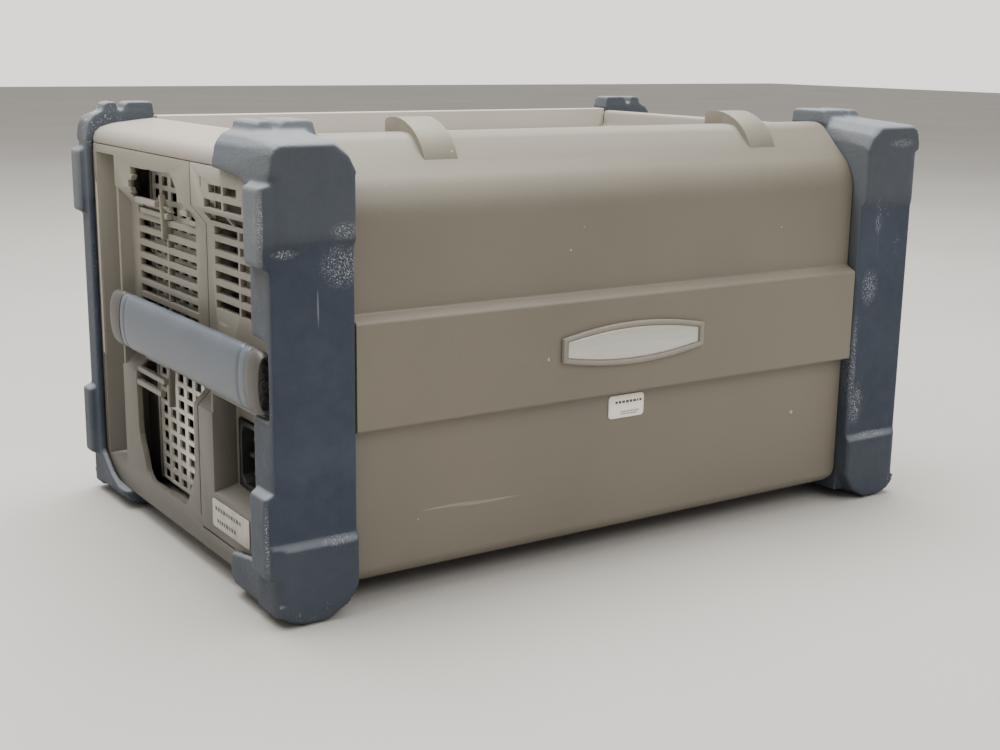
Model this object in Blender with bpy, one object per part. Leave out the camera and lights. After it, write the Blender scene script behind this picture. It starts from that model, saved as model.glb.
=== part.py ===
"""Portable transmission test set, lying on its feet with its front lid closed.

The case is a sheet-metal chassis inside moulded covers, held at its four upright corners by
rubber bumpers.  The lid hooks over the top edge and folds down on the front, the carrying
handle pulls out of the left side, and two fans draw air through the slotted left panel.

Frame: +X to the right as seen from the front, +Y to the back, +Z up.  The origin is on the
floor under the middle of the case.  Lengths below are millimetres; MM turns them to metres.
"""
import math

import bmesh
import bpy
from mathutils import Matrix, Vector

MM = 0.001
GAP = 0.3                       # clearance between pieces that touch
SKEW = 0.06                     # keeps the faces of welded shapes out of one plane

# Driving dimensions of the case
DEPTH = 212.0                   # over the bumpers' front and back faces
FRONT = -DEPTH / 2              # plane of the bumpers' front faces
BACK = DEPTH / 2
SIDE = 166.1                    # bumper side faces, from the middle plane
BLOCK = 169.8                   # bumper side blocks
PANEL = 162.7                   # outer faces of the side panels
RECESS = 156.5                  # finger recess behind the handle
BUMPER_INNER = 131.9            # bumpers' inner edges, where the lid fits
CASE_BOTTOM = 9.3
SEAM = 167.2                    # joint between side panels and top cover
LID_TOP = 179.5
EAR_TOP = 185.2
SHEET = 2.5                     # moulded wall thickness
FLANGE_WALL = 2.5               # front bumpers' inner flange beside the lid
FLANGE_DEPTH = 33.0
FRAME_SIDE = BUMPER_INNER + FLANGE_WALL + GAP

# Lid
LID_HALF = 131.2
LID_FACE = FRONT + 8.0
BAND_FACE = FRONT + 2.8
BAND_LOW = 70.5
BAND_HIGH = 114.5
LID_BACK = FRONT + 33.5
LID_HINGE = (FRONT + 14.0, 14.0)
LID_END_WALL = 3.5
PIN_RADIUS = 1.9
PIN_HEAD = 2.6
HOOK_AT = 84.5
HOOK_WIDTH = 15.0

# Name plate and label on the lid
PLATE_Z = 92.3

# Front frame and what it carries
FRAME_FACE = FRONT + 34.0
FRAME_PLATE = 4.0
SCREEN = (-112.0, 66.0, 44.0, 158.0)
KEY_RISE = 2.5
KEY_DEPTH = 7.5

# Slots of the left panel
VENT_PITCH = 5.85
SLOT_HEIGHT = 3.3
VENT_TOP = 156.5
VENT_BOTTOM = 20.0

# Carrying handle
HANDLE_X = -165.6
HANDLE_Z = 92.4
HANDLE_FRONT = FRONT + 7.7
HANDLE_BACK = FRONT + 167.0
GRIP_FRONT = FRONT + 18.0
GRIP_BACK = FRONT + 152.4
POST_FRONT_Y = FRONT + 13.0
POST_BACK_Y = FRONT + 160.0
POST_RADIUS = 3.5

# Appliance inlet: its flange in y and z
INLET = (FRONT + 42.0, FRONT + 62.0, 38.5, 66.5)

# Fans
FAN_SIZE = 60.0
FAN_Y = FRONT + 121.0
FAN_HEIGHTS = (60.5, 127.0)
FAN_FACE = -145.7
FAN_DEPTH = 25.0

# Top cover's tray
TRAY_HALF = 131.0
TRAY_FLOOR = 168.6
COVER_FRONT = FRONT + 52.5
COVER_BACK = FRONT + 197.7


def clear_scene():
    """Remove what a new file starts with."""
    for item in list(bpy.data.objects):
        bpy.data.objects.remove(item, do_unlink=True)


def material(name, color, roughness, metallic=0.0, alpha=1.0):
    """A plain Principled material."""
    mat = bpy.data.materials.get(name) or bpy.data.materials.new(name)
    mat.use_nodes = True
    shader = mat.node_tree.nodes["Principled BSDF"]
    shader.inputs["Base Color"].default_value = (*color, 1.0)
    shader.inputs["Roughness"].default_value = roughness
    shader.inputs["Metallic"].default_value = metallic
    shader.inputs["Alpha"].default_value = alpha
    mat.diffuse_color = (*color, alpha)
    return mat


RUBBER = ("bumper rubber", (0.045, 0.066, 0.100), 0.70)
LID_GREY = ("lid moulding", (0.245, 0.230, 0.195), 0.55)
CASE_GREY = ("case moulding", (0.320, 0.290, 0.250), 0.55)
DARK_GREY = ("dark moulding", (0.035, 0.035, 0.035), 0.50)
STEEL = ("zinc plated steel", (0.60, 0.60, 0.58), 0.35, 1.0)
ALUMINIUM = ("aluminium sheet", (0.70, 0.70, 0.68), 0.40, 1.0)
GRIP_BLUE = ("grip vinyl", (0.130, 0.165, 0.210), 0.45)
BOARD_GREEN = ("circuit board", (0.020, 0.110, 0.050), 0.50)
BLACK = ("black plastic", (0.012, 0.012, 0.013), 0.40)
LABEL = ("label film", (0.75, 0.74, 0.70), 0.50)
PLATE = ("name plate", (0.55, 0.56, 0.53), 0.40)
WINDOW = ("display window", (0.02, 0.03, 0.04), 0.08)
KEY_GREY = ("key rubber", (0.42, 0.41, 0.38), 0.60)


def finish(name, bm, look, smooth_angle=None):
    """Turn a bmesh in millimetres into a named object in metres."""
    bmesh.ops.recalc_face_normals(bm, faces=bm.faces)
    bmesh.ops.scale(bm, vec=Vector((MM, MM, MM)), verts=bm.verts)
    mesh = bpy.data.meshes.new(name)
    bm.to_mesh(mesh)
    bm.free()
    mesh.materials.append(material(*look))
    if smooth_angle is not None:
        mesh.shade_smooth()
        mesh.set_sharp_from_angle(angle=math.radians(smooth_angle))
    item = bpy.data.objects.new(name, mesh)
    bpy.context.scene.collection.objects.link(item)
    return item


def add_box(bm, x, y, z):
    """Add a closed box given its low and high corner on each axis."""
    size = Vector((x[1] - x[0], y[1] - y[0], z[1] - z[0]))
    middle = Vector(((x[0] + x[1]) / 2, (y[0] + y[1]) / 2, (z[0] + z[1]) / 2))
    place = Matrix.Translation(middle) @ Matrix.Diagonal((*size, 1.0))
    return bmesh.ops.create_cube(bm, size=1.0, matrix=place)["verts"]


def add_loft(bm, sections):
    """Join rings of the same number of points into one closed skin."""
    rings = [[bm.verts.new(point) for point in ring] for ring in sections]
    count = len(rings[0])
    for low, high in zip(rings, rings[1:]):
        for i in range(count):
            j = (i + 1) % count
            bm.faces.new((low[i], low[j], high[j], high[i]))
    bm.faces.new(rings[0])
    bm.faces.new(list(reversed(rings[-1])))


def along(axis, outline, position):
    """Lift a flat outline to 3D at a position along an axis."""
    if axis == "X":
        return [(position, a, b) for a, b in outline]
    if axis == "Y":
        return [(a, position, b) for a, b in outline]
    return [(a, b, position) for a, b in outline]


def add_prism(bm, axis, outline, start, end):
    """Extrude an outline along an axis."""
    add_loft(bm, [along(axis, outline, start), along(axis, outline, end)])


def ring(centre, radius, count, radius_b=None, turn=0.0):
    """Points of a circle or an ellipse about a flat centre."""
    second = radius if radius_b is None else radius_b
    points = []
    for i in range(count):
        angle = turn + 2 * math.pi * i / count
        points.append((centre[0] + radius * math.cos(angle), centre[1] + second * math.sin(angle)))
    return points


def rounded(low, high, radius, steps=3):
    """Rectangle outline with round corners."""
    corners = ((high[0] - radius, high[1] - radius, 0), (low[0] + radius, high[1] - radius, 90),
               (low[0] + radius, low[1] + radius, 180), (high[0] - radius, low[1] + radius, 270))
    points = []
    for x, y, start in corners:
        for i in range(steps + 1):
            angle = math.radians(start + 90 * i / steps)
            points.append((x + radius * math.cos(angle), y + radius * math.sin(angle)))
    return points


def prism(name, axis, outline, start, end, look, smooth_angle=None):
    bm = bmesh.new()
    add_prism(bm, axis, outline, start, end)
    return finish(name, bm, look, smooth_angle)


def box(name, x, y, z, look):
    bm = bmesh.new()
    add_box(bm, x, y, z)
    return finish(name, bm, look)


def combine(target, bm, operation):
    """Apply a Boolean of the shapes in a bmesh to an object."""
    tool = finish(target.name + "_tool", bm, DARK_GREY)
    tool.hide_render = True
    tool.display_type = "WIRE"
    step = target.modifiers.new("join" if operation == "UNION" else "cut", "BOOLEAN")
    step.operation = operation
    step.object = tool
    step.solver = "EXACT"
    depsgraph = bpy.context.evaluated_depsgraph_get()
    mesh = bpy.data.meshes.new_from_object(target.evaluated_get(depsgraph))
    target.modifiers.clear()
    target.data = mesh
    bpy.data.objects.remove(tool, do_unlink=True)
    return target


def join(target, *shapes):
    """Weld further closed shapes to an object, one by one."""
    for shape in shapes:
        bm = bmesh.new()
        shape(bm)
        combine(target, bm, "UNION")
    return target


def cut(target, *shapes):
    """Cut closed shapes out of an object, one group at a time."""
    for shape in shapes:
        bm = bmesh.new()
        shape(bm)
        combine(target, bm, "DIFFERENCE")
    return target


def mirrored(outline):
    """Complete a half outline (positive first coordinate) with its mirror image."""
    return outline + [(-a, b) for a, b in reversed(outline)]


# --------------------------------------------------------------------------- bumpers

def bumper(name, side, end):
    """One corner bumper: an upright strip round the corner, a head with two ears and a foot.

    side is +1 on the right and -1 on the left, end is -1 at the front and +1 at the back.
    Points are (a, d, z): a from the middle plane outwards, d from the end face inwards.
    """
    front = end < 0
    strip = 19.0 if front else 14.0
    head = 52.0 if front else 14.0
    foot = 46.0
    wall = 8.0
    inner = PANEL + GAP

    def place(a, d, z):
        return (side * a, end * (BACK - d), z)

    def plan(bm, outline, low, high):
        add_loft(bm, [[place(a, d, z) for a, d in outline] for z in (low, high)])

    def loft_in(bm, sections):
        add_loft(bm, [[place(a, d, z) for a, z in outline] for d, outline in sections])

    corner = [(BUMPER_INNER, 1.0), (BUMPER_INNER + 1.0, 0.0), (161.5, 0.0), (164.2, 0.9), (165.7, 2.8),
              (SIDE, 5.0), (SIDE, strip), (inner, strip), (inner, wall)]
    if front:
        corner += [(BUMPER_INNER + FLANGE_WALL, wall), (BUMPER_INNER + FLANGE_WALL, FLANGE_DEPTH),
                   (BUMPER_INNER, FLANGE_DEPTH)]
    else:
        corner.append((BUMPER_INNER, wall))
    bm = bmesh.new()
    plan(bm, corner, 4.0, 168.2)
    item = finish(name, bm, RUBBER)

    def head_outline(inset, top, square):
        """Head seen from the front; inset widens the inner chamfer, square sharpens the shoulder."""
        return [(BUMPER_INNER + SKEW, SEAM + GAP), (BUMPER_INNER + SKEW, 173.0 - inset),
                (133.5 + 0.3 * inset, top - 3.6 - 0.2 * inset), (138.0 + 0.6 * inset, top),
                (157.5 + 4.7 * square, top), (161.5 + 2.9 * square, top - 1.6 + 0.2 * square),
                (164.3 + 1.2 * square, top - 5.0 + square), (165.7 + 0.2 * square, 170.5),
                (SIDE - SKEW, SEAM + GAP)]

    slope_end = 30.0 if front else 6.0

    def head_shape(bm):
        loft_in(bm, [(SKEW, head_outline(4.8, 178.2, 0.8)), (2.5, head_outline(3.4, 179.2, 1.0)),
                     (slope_end, head_outline(0.0, 181.4, 0.0)), (head, head_outline(0.0, 181.4, 0.0))])

    def ear_outline(low, high):
        return [(low - 0.8, 179.0), (low, EAR_TOP - 0.6), (low + 0.8, EAR_TOP), (high - 1.8, EAR_TOP),
                (high, EAR_TOP - 0.9), (high + 1.6, 179.0)]

    ear_start = 31.5 if front else 3.5
    ear_end = head - 4 * SKEW

    def ears(bm):
        for low, high in ((133.6, 146.8), (150.6, 156.6)):
            outline = ear_outline(low, high)
            buried = [(a, 178.6 + 0.2 * (z - 179.0)) for a, z in outline]
            loft_in(bm, [(ear_start - 2.5, buried), (ear_start, outline), (ear_end, outline)])

    def foot_outline(lift):
        """Foot seen from the front; lift raises its sole."""
        return [(BUMPER_INNER + SKEW, CASE_BOTTOM - GAP), (133.6, 7.6 + 0.5 * lift),
                (138.0, 3.4 + lift), (145.0, lift), (156.0, lift), (161.0, 1.6 + lift),
                (164.6, 5.0 + lift), (SIDE - 0.5, CASE_BOTTOM - GAP)]

    def foot_shape(bm):
        loft_in(bm, [(SKEW, foot_outline(0.9)), (2.0, foot_outline(0.2)), (5.0, foot_outline(0.0)),
                     (foot - 6.0, foot_outline(0.0)), (foot, foot_outline(2.0))])

    def across(bm, outline, reach):
        add_loft(bm, [[place(a, d, z) for d, z in outline] for a in reach])

    flange_reach = (inner + SKEW, SIDE - 2 * SKEW)

    def lower_flange(bm):
        """Side flange that runs on past the strip above the foot."""
        across(bm, [(strip - 1.0, 5.5), (foot - 5.0, 5.5), (foot - 1.5, 8.4), (foot - 1.5, 15.0),
                    (foot - 3.0, 18.0), (strip - 1.0, 22.0)], flange_reach)

    def upper_flange(bm):
        """Side flange that runs on past the strip below the head."""
        across(bm, [(strip - 1.0, 160.0), (26.0, 165.0), (head - 0.5, SEAM), (head - 0.5, 169.0),
                    (strip - 1.0, 169.0)], flange_reach)

    def blocks(bm):
        """Two proud blocks on the side face; they start further back on the front right corner."""
        begin = 7.0 if front and side > 0 else 2.6
        edge = strip - 3.4
        for low, high in ((136.0, 163.5), (20.0, 51.0)):
            face = [(edge, low + 1.0), (edge, high - 1.0), (edge - 1.0, high), (begin, high), (begin, low),
                    (edge - 1.0, low)]
            base = [(edge + 1.1, low), (edge + 1.1, high), (edge + 0.1, high + 1.0),
                    (begin - 1.6, high + 1.0), (begin - 1.6, low - 1.0), (edge + 0.1, low - 1.0)]
            levels = ((SIDE - 3.0, base), (SIDE + 1.2, base), (BLOCK, face))
            add_loft(bm, [[place(a, d, z) for d, z in outline] for a, outline in levels])

    parts = [head_shape, ears, foot_shape, lower_flange]
    if front:
        parts.append(upper_flange)
    parts.append(blocks)
    join(item, *parts)

    def waist(bm):
        """The front face is set back a little between the head and the foot."""
        outline = [(-5.0, 29.7), (0.0, 29.7), (2.3, 32.8), (2.3, 141.6), (0.0, 144.8), (-5.0, 144.8)]
        across(bm, outline, (BUMPER_INNER - 5.0, SIDE + 8.0))

    def foot_corner(bm):
        """Chamfer at the inner lower corner of the end face."""
        outline = [(BUMPER_INNER - 3.0, 17.4), (136.6, 5.5), (145.6, 0.4), (150.0, -2.0), (150.0, -6.0),
                   (BUMPER_INNER - 3.0, -6.0)]
        loft_in(bm, [(-3.0, outline), (7.2, outline)])

    cut(item, waist, foot_corner)
    if front and side < 0:
        def notch(bm):
            """Room for the front end of the handle."""
            outline = [(5.5, 79.0), (30.0, 79.0), (30.0, 109.5), (8.5, 108.5), (5.5, 105.5)]
            across(bm, outline, (SIDE - 10.0, SIDE + 10.0))
        cut(item, notch)
    if front:
        def pin_hole(bm):
            """Clearance for the lid's hinge pin in the inner flange."""
            reach = sorted((side * (BUMPER_INNER - 1.0), side * (BUMPER_INNER + FLANGE_WALL + 1.0)))
            add_prism(bm, "X", ring(LID_HINGE, PIN_RADIUS + 0.6, 12), *reach)
        cut(item, pin_hole)
    return item


def bumpers():
    for end, end_name in ((-1, "front"), (1, "rear")):
        for side, side_name in ((-1, "left"), (1, "right")):
            bumper("bumper_" + end_name + "_" + side_name, side, end)


# --------------------------------------------------------------------------- lid

def lid_profile():
    """Outer section of the lid, seen from its end: (y, z) from the bottom back edge round the face."""
    face = LID_FACE
    band = BAND_FACE
    return [(LID_BACK, 11.0), (LID_BACK - 2.4, 8.6), (face + 4.2, 8.6), (face + 1.4, 9.8), (face, 12.8),
            (face, BAND_LOW - 1.0), (band + 0.6, BAND_LOW - 0.4), (band, BAND_LOW + 0.8),
            (band, BAND_HIGH - 3.2), (band + 0.8, BAND_HIGH - 1.6), (face, BAND_HIGH),
            (face, 149.0), (face + 0.8, 154.4), (face + 3.0, 159.6), (face + 6.6, 164.4),
            (face + 19.0, 176.0), (face + 22.6, 178.3), (face + 26.8, LID_TOP), (FRONT + 40.0, LID_TOP),
            (FRONT + 40.0, 177.1), (LID_BACK, 177.1)]


def lid_hollow():
    """Inner section, open at the back."""
    face = LID_FACE + SHEET
    return [(LID_BACK + 9.0, 11.1), (face + 2.2, 11.1), (face, 13.4), (face, 148.6), (face + 0.8, 153.4),
            (face + 2.6, 157.9), (face + 5.4, 161.8), (face + 18.0, 173.4), (face + 21.2, 175.6),
            (face + 24.4, 176.4), (LID_BACK + 9.0, 176.4)]


def hook_profile():
    """One hook from its root on the lid's slope to its tip over the top edge: (y, z)."""
    return [(FRONT + 18.0, 166.0), (FRONT + 20.8, 171.2), (FRONT + 24.3, 176.6), (FRONT + 27.5, 179.6),
            (FRONT + 31.0, 181.8), (FRONT + 35.0, 183.5), (FRONT + 39.1, 184.6), (FRONT + 45.0, 184.9),
            (FRONT + 50.0, 184.2), (FRONT + 51.5, 182.8), (FRONT + 51.5, 178.0), (FRONT + 46.0, 178.9),
            (FRONT + 41.0, 178.6), (FRONT + 37.0, 177.8), (FRONT + 28.0, 175.0)]


def front_lid():
    item = prism("front_cover", "X", lid_profile(), -LID_HALF, LID_HALF, LID_GREY)
    inside = LID_HALF - LID_END_WALL
    cut(item, lambda bm: add_prism(bm, "X", lid_hollow(), -inside, inside))

    def hooks(bm):
        for side in (-1, 1):
            low = side * HOOK_AT - HOOK_WIDTH / 2
            add_prism(bm, "X", hook_profile(), low, low + HOOK_WIDTH)

    join(item, hooks)

    def end_rounding(bm):
        """Take the sharp lower end corners off."""
        radius = 8.0
        low = 8.6
        for side in (-1, 1):
            arc = [(side * (LID_HALF - radius + radius * math.sin(math.radians(t))),
                    low + radius - radius * math.cos(math.radians(t))) for t in range(0, 91, 18)]
            beyond = [(side * (LID_HALF + 2.0), low + radius), (side * (LID_HALF + 2.0), low - 3.0),
                      (side * (LID_HALF - radius), low - 3.0)]
            add_prism(bm, "Y", arc + beyond, FRONT - 5.0, LID_BACK + 4.0)

    def pin_holes(bm):
        for side in (-1, 1):
            reach = sorted((side * (inside - 1.0), side * (LID_HALF + 1.0)))
            add_prism(bm, "X", ring(LID_HINGE, PIN_RADIUS + GAP, 12), *reach)

    cut(item, end_rounding, pin_holes)
    return item


def hinge_pins():
    """A headed pin through each end wall of the lid into the front frame."""
    inside = LID_HALF - LID_END_WALL
    steps = ((inside - 2.4, PIN_HEAD), (inside - GAP, PIN_HEAD), (inside - GAP, PIN_RADIUS),
             (FRAME_SIDE + 2.6, PIN_RADIUS))
    for side, name in ((-1, "lid_pin_left"), (1, "lid_pin_right")):
        bm = bmesh.new()
        add_loft(bm, [along("X", ring(LID_HINGE, radius, 12), side * x) for x, radius in steps])
        finish(name, bm, STEEL, 40)


def plate_outline(half_width, end_height, bow):
    """Name plate outline: top and bottom edges bow outwards, ends stay upright and round."""
    points = []
    steps = 10
    for sign in (1, -1):
        for i in range(steps + 1):
            u = sign * (1.0 - 2.0 * i / steps)
            points.append((u * half_width, PLATE_Z + sign * (end_height / 2 + bow * (1.0 - u * u))))
    return points


def lid_trim():
    """Name plate in its raised rim, and the small label under it."""
    rim = prism("nameplate_rim", "Y", plate_outline(37.6, 10.0, 4.0), BAND_FACE - 2.0, BAND_FACE - GAP,
                CASE_GREY)
    inner = plate_outline(35.2, 7.0, 3.4)
    cut(rim, lambda bm: add_prism(bm, "Y", inner, BAND_FACE - 5.0, BAND_FACE + 5.0))
    prism("nameplate", "Y", plate_outline(34.8, 6.4, 3.3), BAND_FACE - 1.3, BAND_FACE - GAP, PLATE)
    prism("serial_label", "Y", rounded((-8.6, 58.4), (10.4, 68.4), 1.5), LID_FACE - 0.45,
          LID_FACE - 0.15, LABEL)


# --------------------------------------------------------------------------- front frame

def front_frame():
    """Moulding behind the lid: plate with screen and key openings, corner posts, deck and sill."""
    item = box("front_frame", (-BUMPER_INNER, BUMPER_INNER), (FRAME_FACE, FRAME_FACE + FRAME_PLATE),
               (12.0, 174.0), CASE_GREY)

    def posts(bm):
        for side in (-1, 1):
            edges = sorted((side * FRAME_SIDE, side * (PANEL - GAP)))
            add_box(bm, edges, (FRONT + 8.0 + GAP, FRONT + 19.0), (CASE_BOTTOM, SEAM))

    def walls(bm):
        for side in (-1, 1):
            edges = sorted((side * (FRAME_SIDE + SKEW), side * (FRAME_SIDE + 3.4)))
            add_box(bm, edges, (FRONT + 12.0, FRAME_FACE + FRAME_PLATE - 0.5),
                    (CASE_BOTTOM + 0.5, SEAM - 0.5))

    def wings(bm):
        for side in (-1, 1):
            edges = sorted((side * (BUMPER_INNER - 1.0), side * (FRAME_SIDE + 1.0)))
            add_box(bm, edges, (FRAME_FACE + 0.2, FRAME_FACE + FRAME_PLATE - 0.2), (12.6, SEAM - 0.9))

    inside = BUMPER_INNER - 0.6

    def deck(bm):
        add_box(bm, (-inside, inside), (FRAME_FACE + 0.4, COVER_FRONT - GAP), (172.0, 176.6))

    def lip(bm):
        """Edge under the deck that closes the front of the tray."""
        add_box(bm, (-TRAY_HALF, TRAY_HALF), (COVER_FRONT - GAP - 3.0, COVER_FRONT - GAP - SKEW),
                (165.6, 172.6))

    def sill(bm):
        add_box(bm, (-inside, inside), (FRAME_FACE + 0.4, COVER_FRONT - GAP), (CASE_BOTTOM, 12.6))

    join(item, posts, walls, wings, deck, lip, sill)
    x0, x1, z0, z1 = SCREEN

    def openings(bm):
        reach = (FRAME_FACE - 6.0, FRAME_FACE + FRAME_PLATE + 6.0)
        add_prism(bm, "Y", rounded((x0, z0), (x1, z1), 3.0), *reach)
        for _, centre, size in key_layout():
            half = (size[0] / 2 + 0.5, size[1] / 2 + 0.5)
            low = (centre[0] - half[0], centre[1] - half[1])
            high = (centre[0] + half[0], centre[1] + half[1])
            add_prism(bm, "Y", rounded(low, high, 1.6, 2), *reach)

    def post_bore(bm):
        add_prism(bm, "X", ring((POST_FRONT_Y, HANDLE_Z), POST_RADIUS + 0.6, 12), -PANEL - 5.0,
                  -BUMPER_INNER - 1.5)

    def pin_bores(bm):
        for side in (-1, 1):
            reach = sorted((side * (FRAME_SIDE - 1.0), side * (FRAME_SIDE + 5.0)))
            add_prism(bm, "X", ring(LID_HINGE, PIN_RADIUS + GAP, 12), *reach)

    def handle_room(bm):
        add_box(bm, (-PANEL - 4.0, HANDLE_X + 6.0), (FRONT, FRONT + 30.0), (HANDLE_Z - 14.0, HANDLE_Z + 16.0))

    cut(item, openings, post_bore, pin_bores, handle_room)
    return item


def key_layout():
    """Name, centre (x, z) and size of each key on the front frame."""
    keys = []
    for i in range(5):
        keys.append(("softkey_" + str(i + 1), (78.0, 148.0 - 21.0 * i), (12.0, 9.0)))
    pad = (106.0, 112.0)
    step = 14.0
    keys.append(("key_up", (pad[0], pad[1] + step), (10.0, 10.0)))
    keys.append(("key_down", (pad[0], pad[1] - step), (10.0, 10.0)))
    keys.append(("key_left", (pad[0] - step, pad[1]), (10.0, 10.0)))
    keys.append(("key_right", (pad[0] + step, pad[1]), (10.0, 10.0)))
    keys.append(("key_enter", pad, (10.0, 10.0)))
    keys.append(("power_button", (112.0, 34.0), (14.0, 14.0)))
    return keys


def front_keys():
    """Crowned keys, each with its origin on the line it is pressed along."""
    crown_height = 0.8
    for name, centre, size in key_layout():
        outer = rounded((-size[0] / 2, -size[1] / 2), (size[0] / 2, size[1] / 2), 1.4, 2)
        crown = [(0.86 * x, 0.86 * z) for x, z in outer]
        bm = bmesh.new()
        add_loft(bm, [along("Y", crown, -KEY_RISE), along("Y", outer, crown_height - KEY_RISE),
                      along("Y", outer, KEY_DEPTH - KEY_RISE)])
        item = finish(name, bm, KEY_GREY)
        item.location = Vector((centre[0], FRAME_FACE, centre[1])) * MM


def display():
    x0, x1, z0, z1 = SCREEN
    prism("display_window", "Y", rounded((x0 + GAP, z0 + GAP), (x1 - GAP, z1 - GAP), 2.7),
          FRAME_FACE + 0.8, FRAME_FACE + 2.8, WINDOW)
    box("display_module", (x0 + 2.0, x1 - 2.0), (FRAME_FACE + 4.6, FRAME_FACE + 13.0),
        (z0 + 1.0, z1 - 1.0), ALUMINIUM)
    box("key_board", (68.0, 128.0), (FRAME_FACE + 7.2, FRAME_FACE + 8.8), (20.0, 160.0), BOARD_GREEN)


# --------------------------------------------------------------------------- left panel

def panel_section(thickness):
    """Section of the left panel (x, z): upright, in to the finger recess, out again."""
    outer = [(-PANEL, SEAM - GAP), (-PANEL, 150.0), (-RECESS, 142.5), (-RECESS, 74.5), (-PANEL, 68.5),
             (-PANEL, CASE_BOTTOM)]
    inner = [(x + thickness, z) for x, z in reversed(outer)]
    inner = [(x, z + 0.6) if 60.0 < z < 75.0 else (x, z) for x, z in inner]
    inner = [(x, z - 0.6) if 140.0 < z < 151.0 else (x, z) for x, z in inner]
    return outer + inner


def vent_slots():
    """Every slot of the left panel as (y low, y high, z low): rows shorten to an eight-sided outline."""
    slots = []
    small = (FRONT + 26.5, FRONT + 73.3)
    z = VENT_TOP
    while z > VENT_BOTTOM:
        main = (FRONT + 92.9, FRONT + 158.7) if z > 74.0 else (FRONT + 86.6, FRONT + 153.0)
        corner = max(0.0, (z + SLOT_HEIGHT - 143.0) * 0.52, (40.0 - z) * 0.72)
        columns = [(main[0] + corner, FRONT + 124.0), (FRONT + 125.6, main[1] - corner)]
        if z > 108.0:
            corner = max(0.0, (z + SLOT_HEIGHT - 147.0) * 0.80)
            columns += [(small[0] + corner, FRONT + 49.1), (FRONT + 50.7, small[1] - corner)]
        for low, high in columns:
            if high - low > 3.0:
                slots.append((low, high, z))
        z -= VENT_PITCH
    return slots


def left_panel():
    front = FRONT + 19.0 + GAP
    item = prism("left_side_panel", "Y", panel_section(SHEET), front, COVER_BACK, CASE_GREY)

    def wells(bm):
        add_box(bm, (-PANEL + 0.6, -150.0), (FRONT + 21.0, FRONT + 68.6), (32.0, 79.0))
        add_box(bm, (-PANEL + 0.6, -150.0), (FRONT + 168.2, FRONT + 196.8), (18.0, 165.5))

    join(item, wells)

    def hollows(bm):
        low, high = FRONT + 23.0, FRONT + 66.5
        add_loft(bm, [along("X", [(low, 34.7), (high, 34.7), (high, 76.6), (low, 76.6)], -PANEL - 4.0),
                      along("X", [(low, 38.0), (high, 38.0), (high, 76.6), (low, 76.6)], -152.4)])
        add_box(bm, (-PANEL - 4.0, -152.4), (FRONT + 170.6, FRONT + 194.6), (20.6, 163.2))

    def slots(bm):
        for low, high, z in vent_slots():
            add_box(bm, (-PANEL - 4.0, -151.5), (low, high), (z, z + SLOT_HEIGHT))

    def openings(bm):
        y0, y1, z0, z1 = INLET
        slack = 0.4
        add_box(bm, (-PANEL - 4.0, -140.0), (y0 - slack, y1 + slack), (z0 - slack, z1 + slack))
        add_prism(bm, "X", ring((POST_BACK_Y, HANDLE_Z), POST_RADIUS + 0.6, 12), -PANEL - 4.0, -140.0)

    def grooves(bm):
        """Fine line that divides the panel, following the recess."""
        deep = 0.9
        section = [(-PANEL - 3.0, SEAM + 2.0), (-PANEL - 3.0, 22.0), (-PANEL + deep, 22.0),
                   (-PANEL + deep, 69.0), (-RECESS + deep, 75.0), (-RECESS + deep, 142.0),
                   (-PANEL + deep, 149.6), (-PANEL + deep, SEAM + 2.0)]
        add_prism(bm, "Y", section, FRONT + 81.0, FRONT + 82.0)

    cut(item, hollows, slots, openings, grooves)
    return item


def inlet():
    """Appliance inlet standing upright in its pocket, three blades inside the shroud."""
    y0, y1, z0, z1 = INLET
    item = box("mains_inlet", (-153.6, -128.0), (y0, y1), (z0, z1), BLACK)

    def shroud(bm):
        outline = [(y0 + 2.6, z0 + 2.2), (y1 - 5.4, z0 + 2.2), (y1 - 2.6, z0 + 5.0), (y1 - 2.6, z1 - 5.0),
                   (y1 - 5.4, z1 - 2.2), (y0 + 2.6, z1 - 2.2)]
        add_prism(bm, "X", outline, -160.0, -137.0)

    cut(item, shroud)

    def blades(bm):
        centre = (z0 + z1) / 2
        for z, y in ((centre + 7.0, y0 + 8.6), (centre, y0 + 12.6), (centre - 7.0, y0 + 8.6)):
            add_box(bm, (-151.5, -136.0), (y - 2.0, y + 2.0), (z - 1.0, z + 1.0))

    join(item, blades)
    return item


def fan_screen():
    """Perforated sheet behind the slots."""
    return box("fan_screen", (-151.2, -150.3), (FRONT + 84.0, FRONT + 155.0), (17.0, 163.0), STEEL)


# --------------------------------------------------------------------------- other covers

def right_panel():
    item = box("right_side_panel", (PANEL - SHEET, PANEL), (FRONT + 19.0 + GAP, COVER_BACK),
               (CASE_BOTTOM, SEAM - GAP), CASE_GREY)

    def bay(bm):
        outline = rounded((FRONT + 60.0, 34.0), (FRONT + 170.0, 142.0), 6.0)
        add_prism(bm, "X", outline, PANEL - 8.0, PANEL + 4.0)

    cut(item, bay)
    return item


def connector_plate():
    """Metal plate behind the opening of the right panel, with its connectors' holes."""
    item = box("connector_plate", (151.0, 153.0), (FRONT + 56.0, FRONT + 174.0), (30.0, 146.0), ALUMINIUM)

    def holes(bm):
        for _, centre in connector_layout():
            add_prism(bm, "X", ring(centre, 5.4, 12), 145.0, 160.0)

    cut(item, holes)
    return item


def connector_layout():
    """Name and centre (y, z) of each connector on the right side."""
    places = []
    for i in range(4):
        places.append(("bnc_connector_" + str(i + 1), (FRONT + 82.0 + 24.0 * i, 120.0)))
    for i in range(2):
        places.append(("optical_port_" + str(i + 1), (FRONT + 94.0 + 44.0 * i, 62.0)))
    return places


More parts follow.
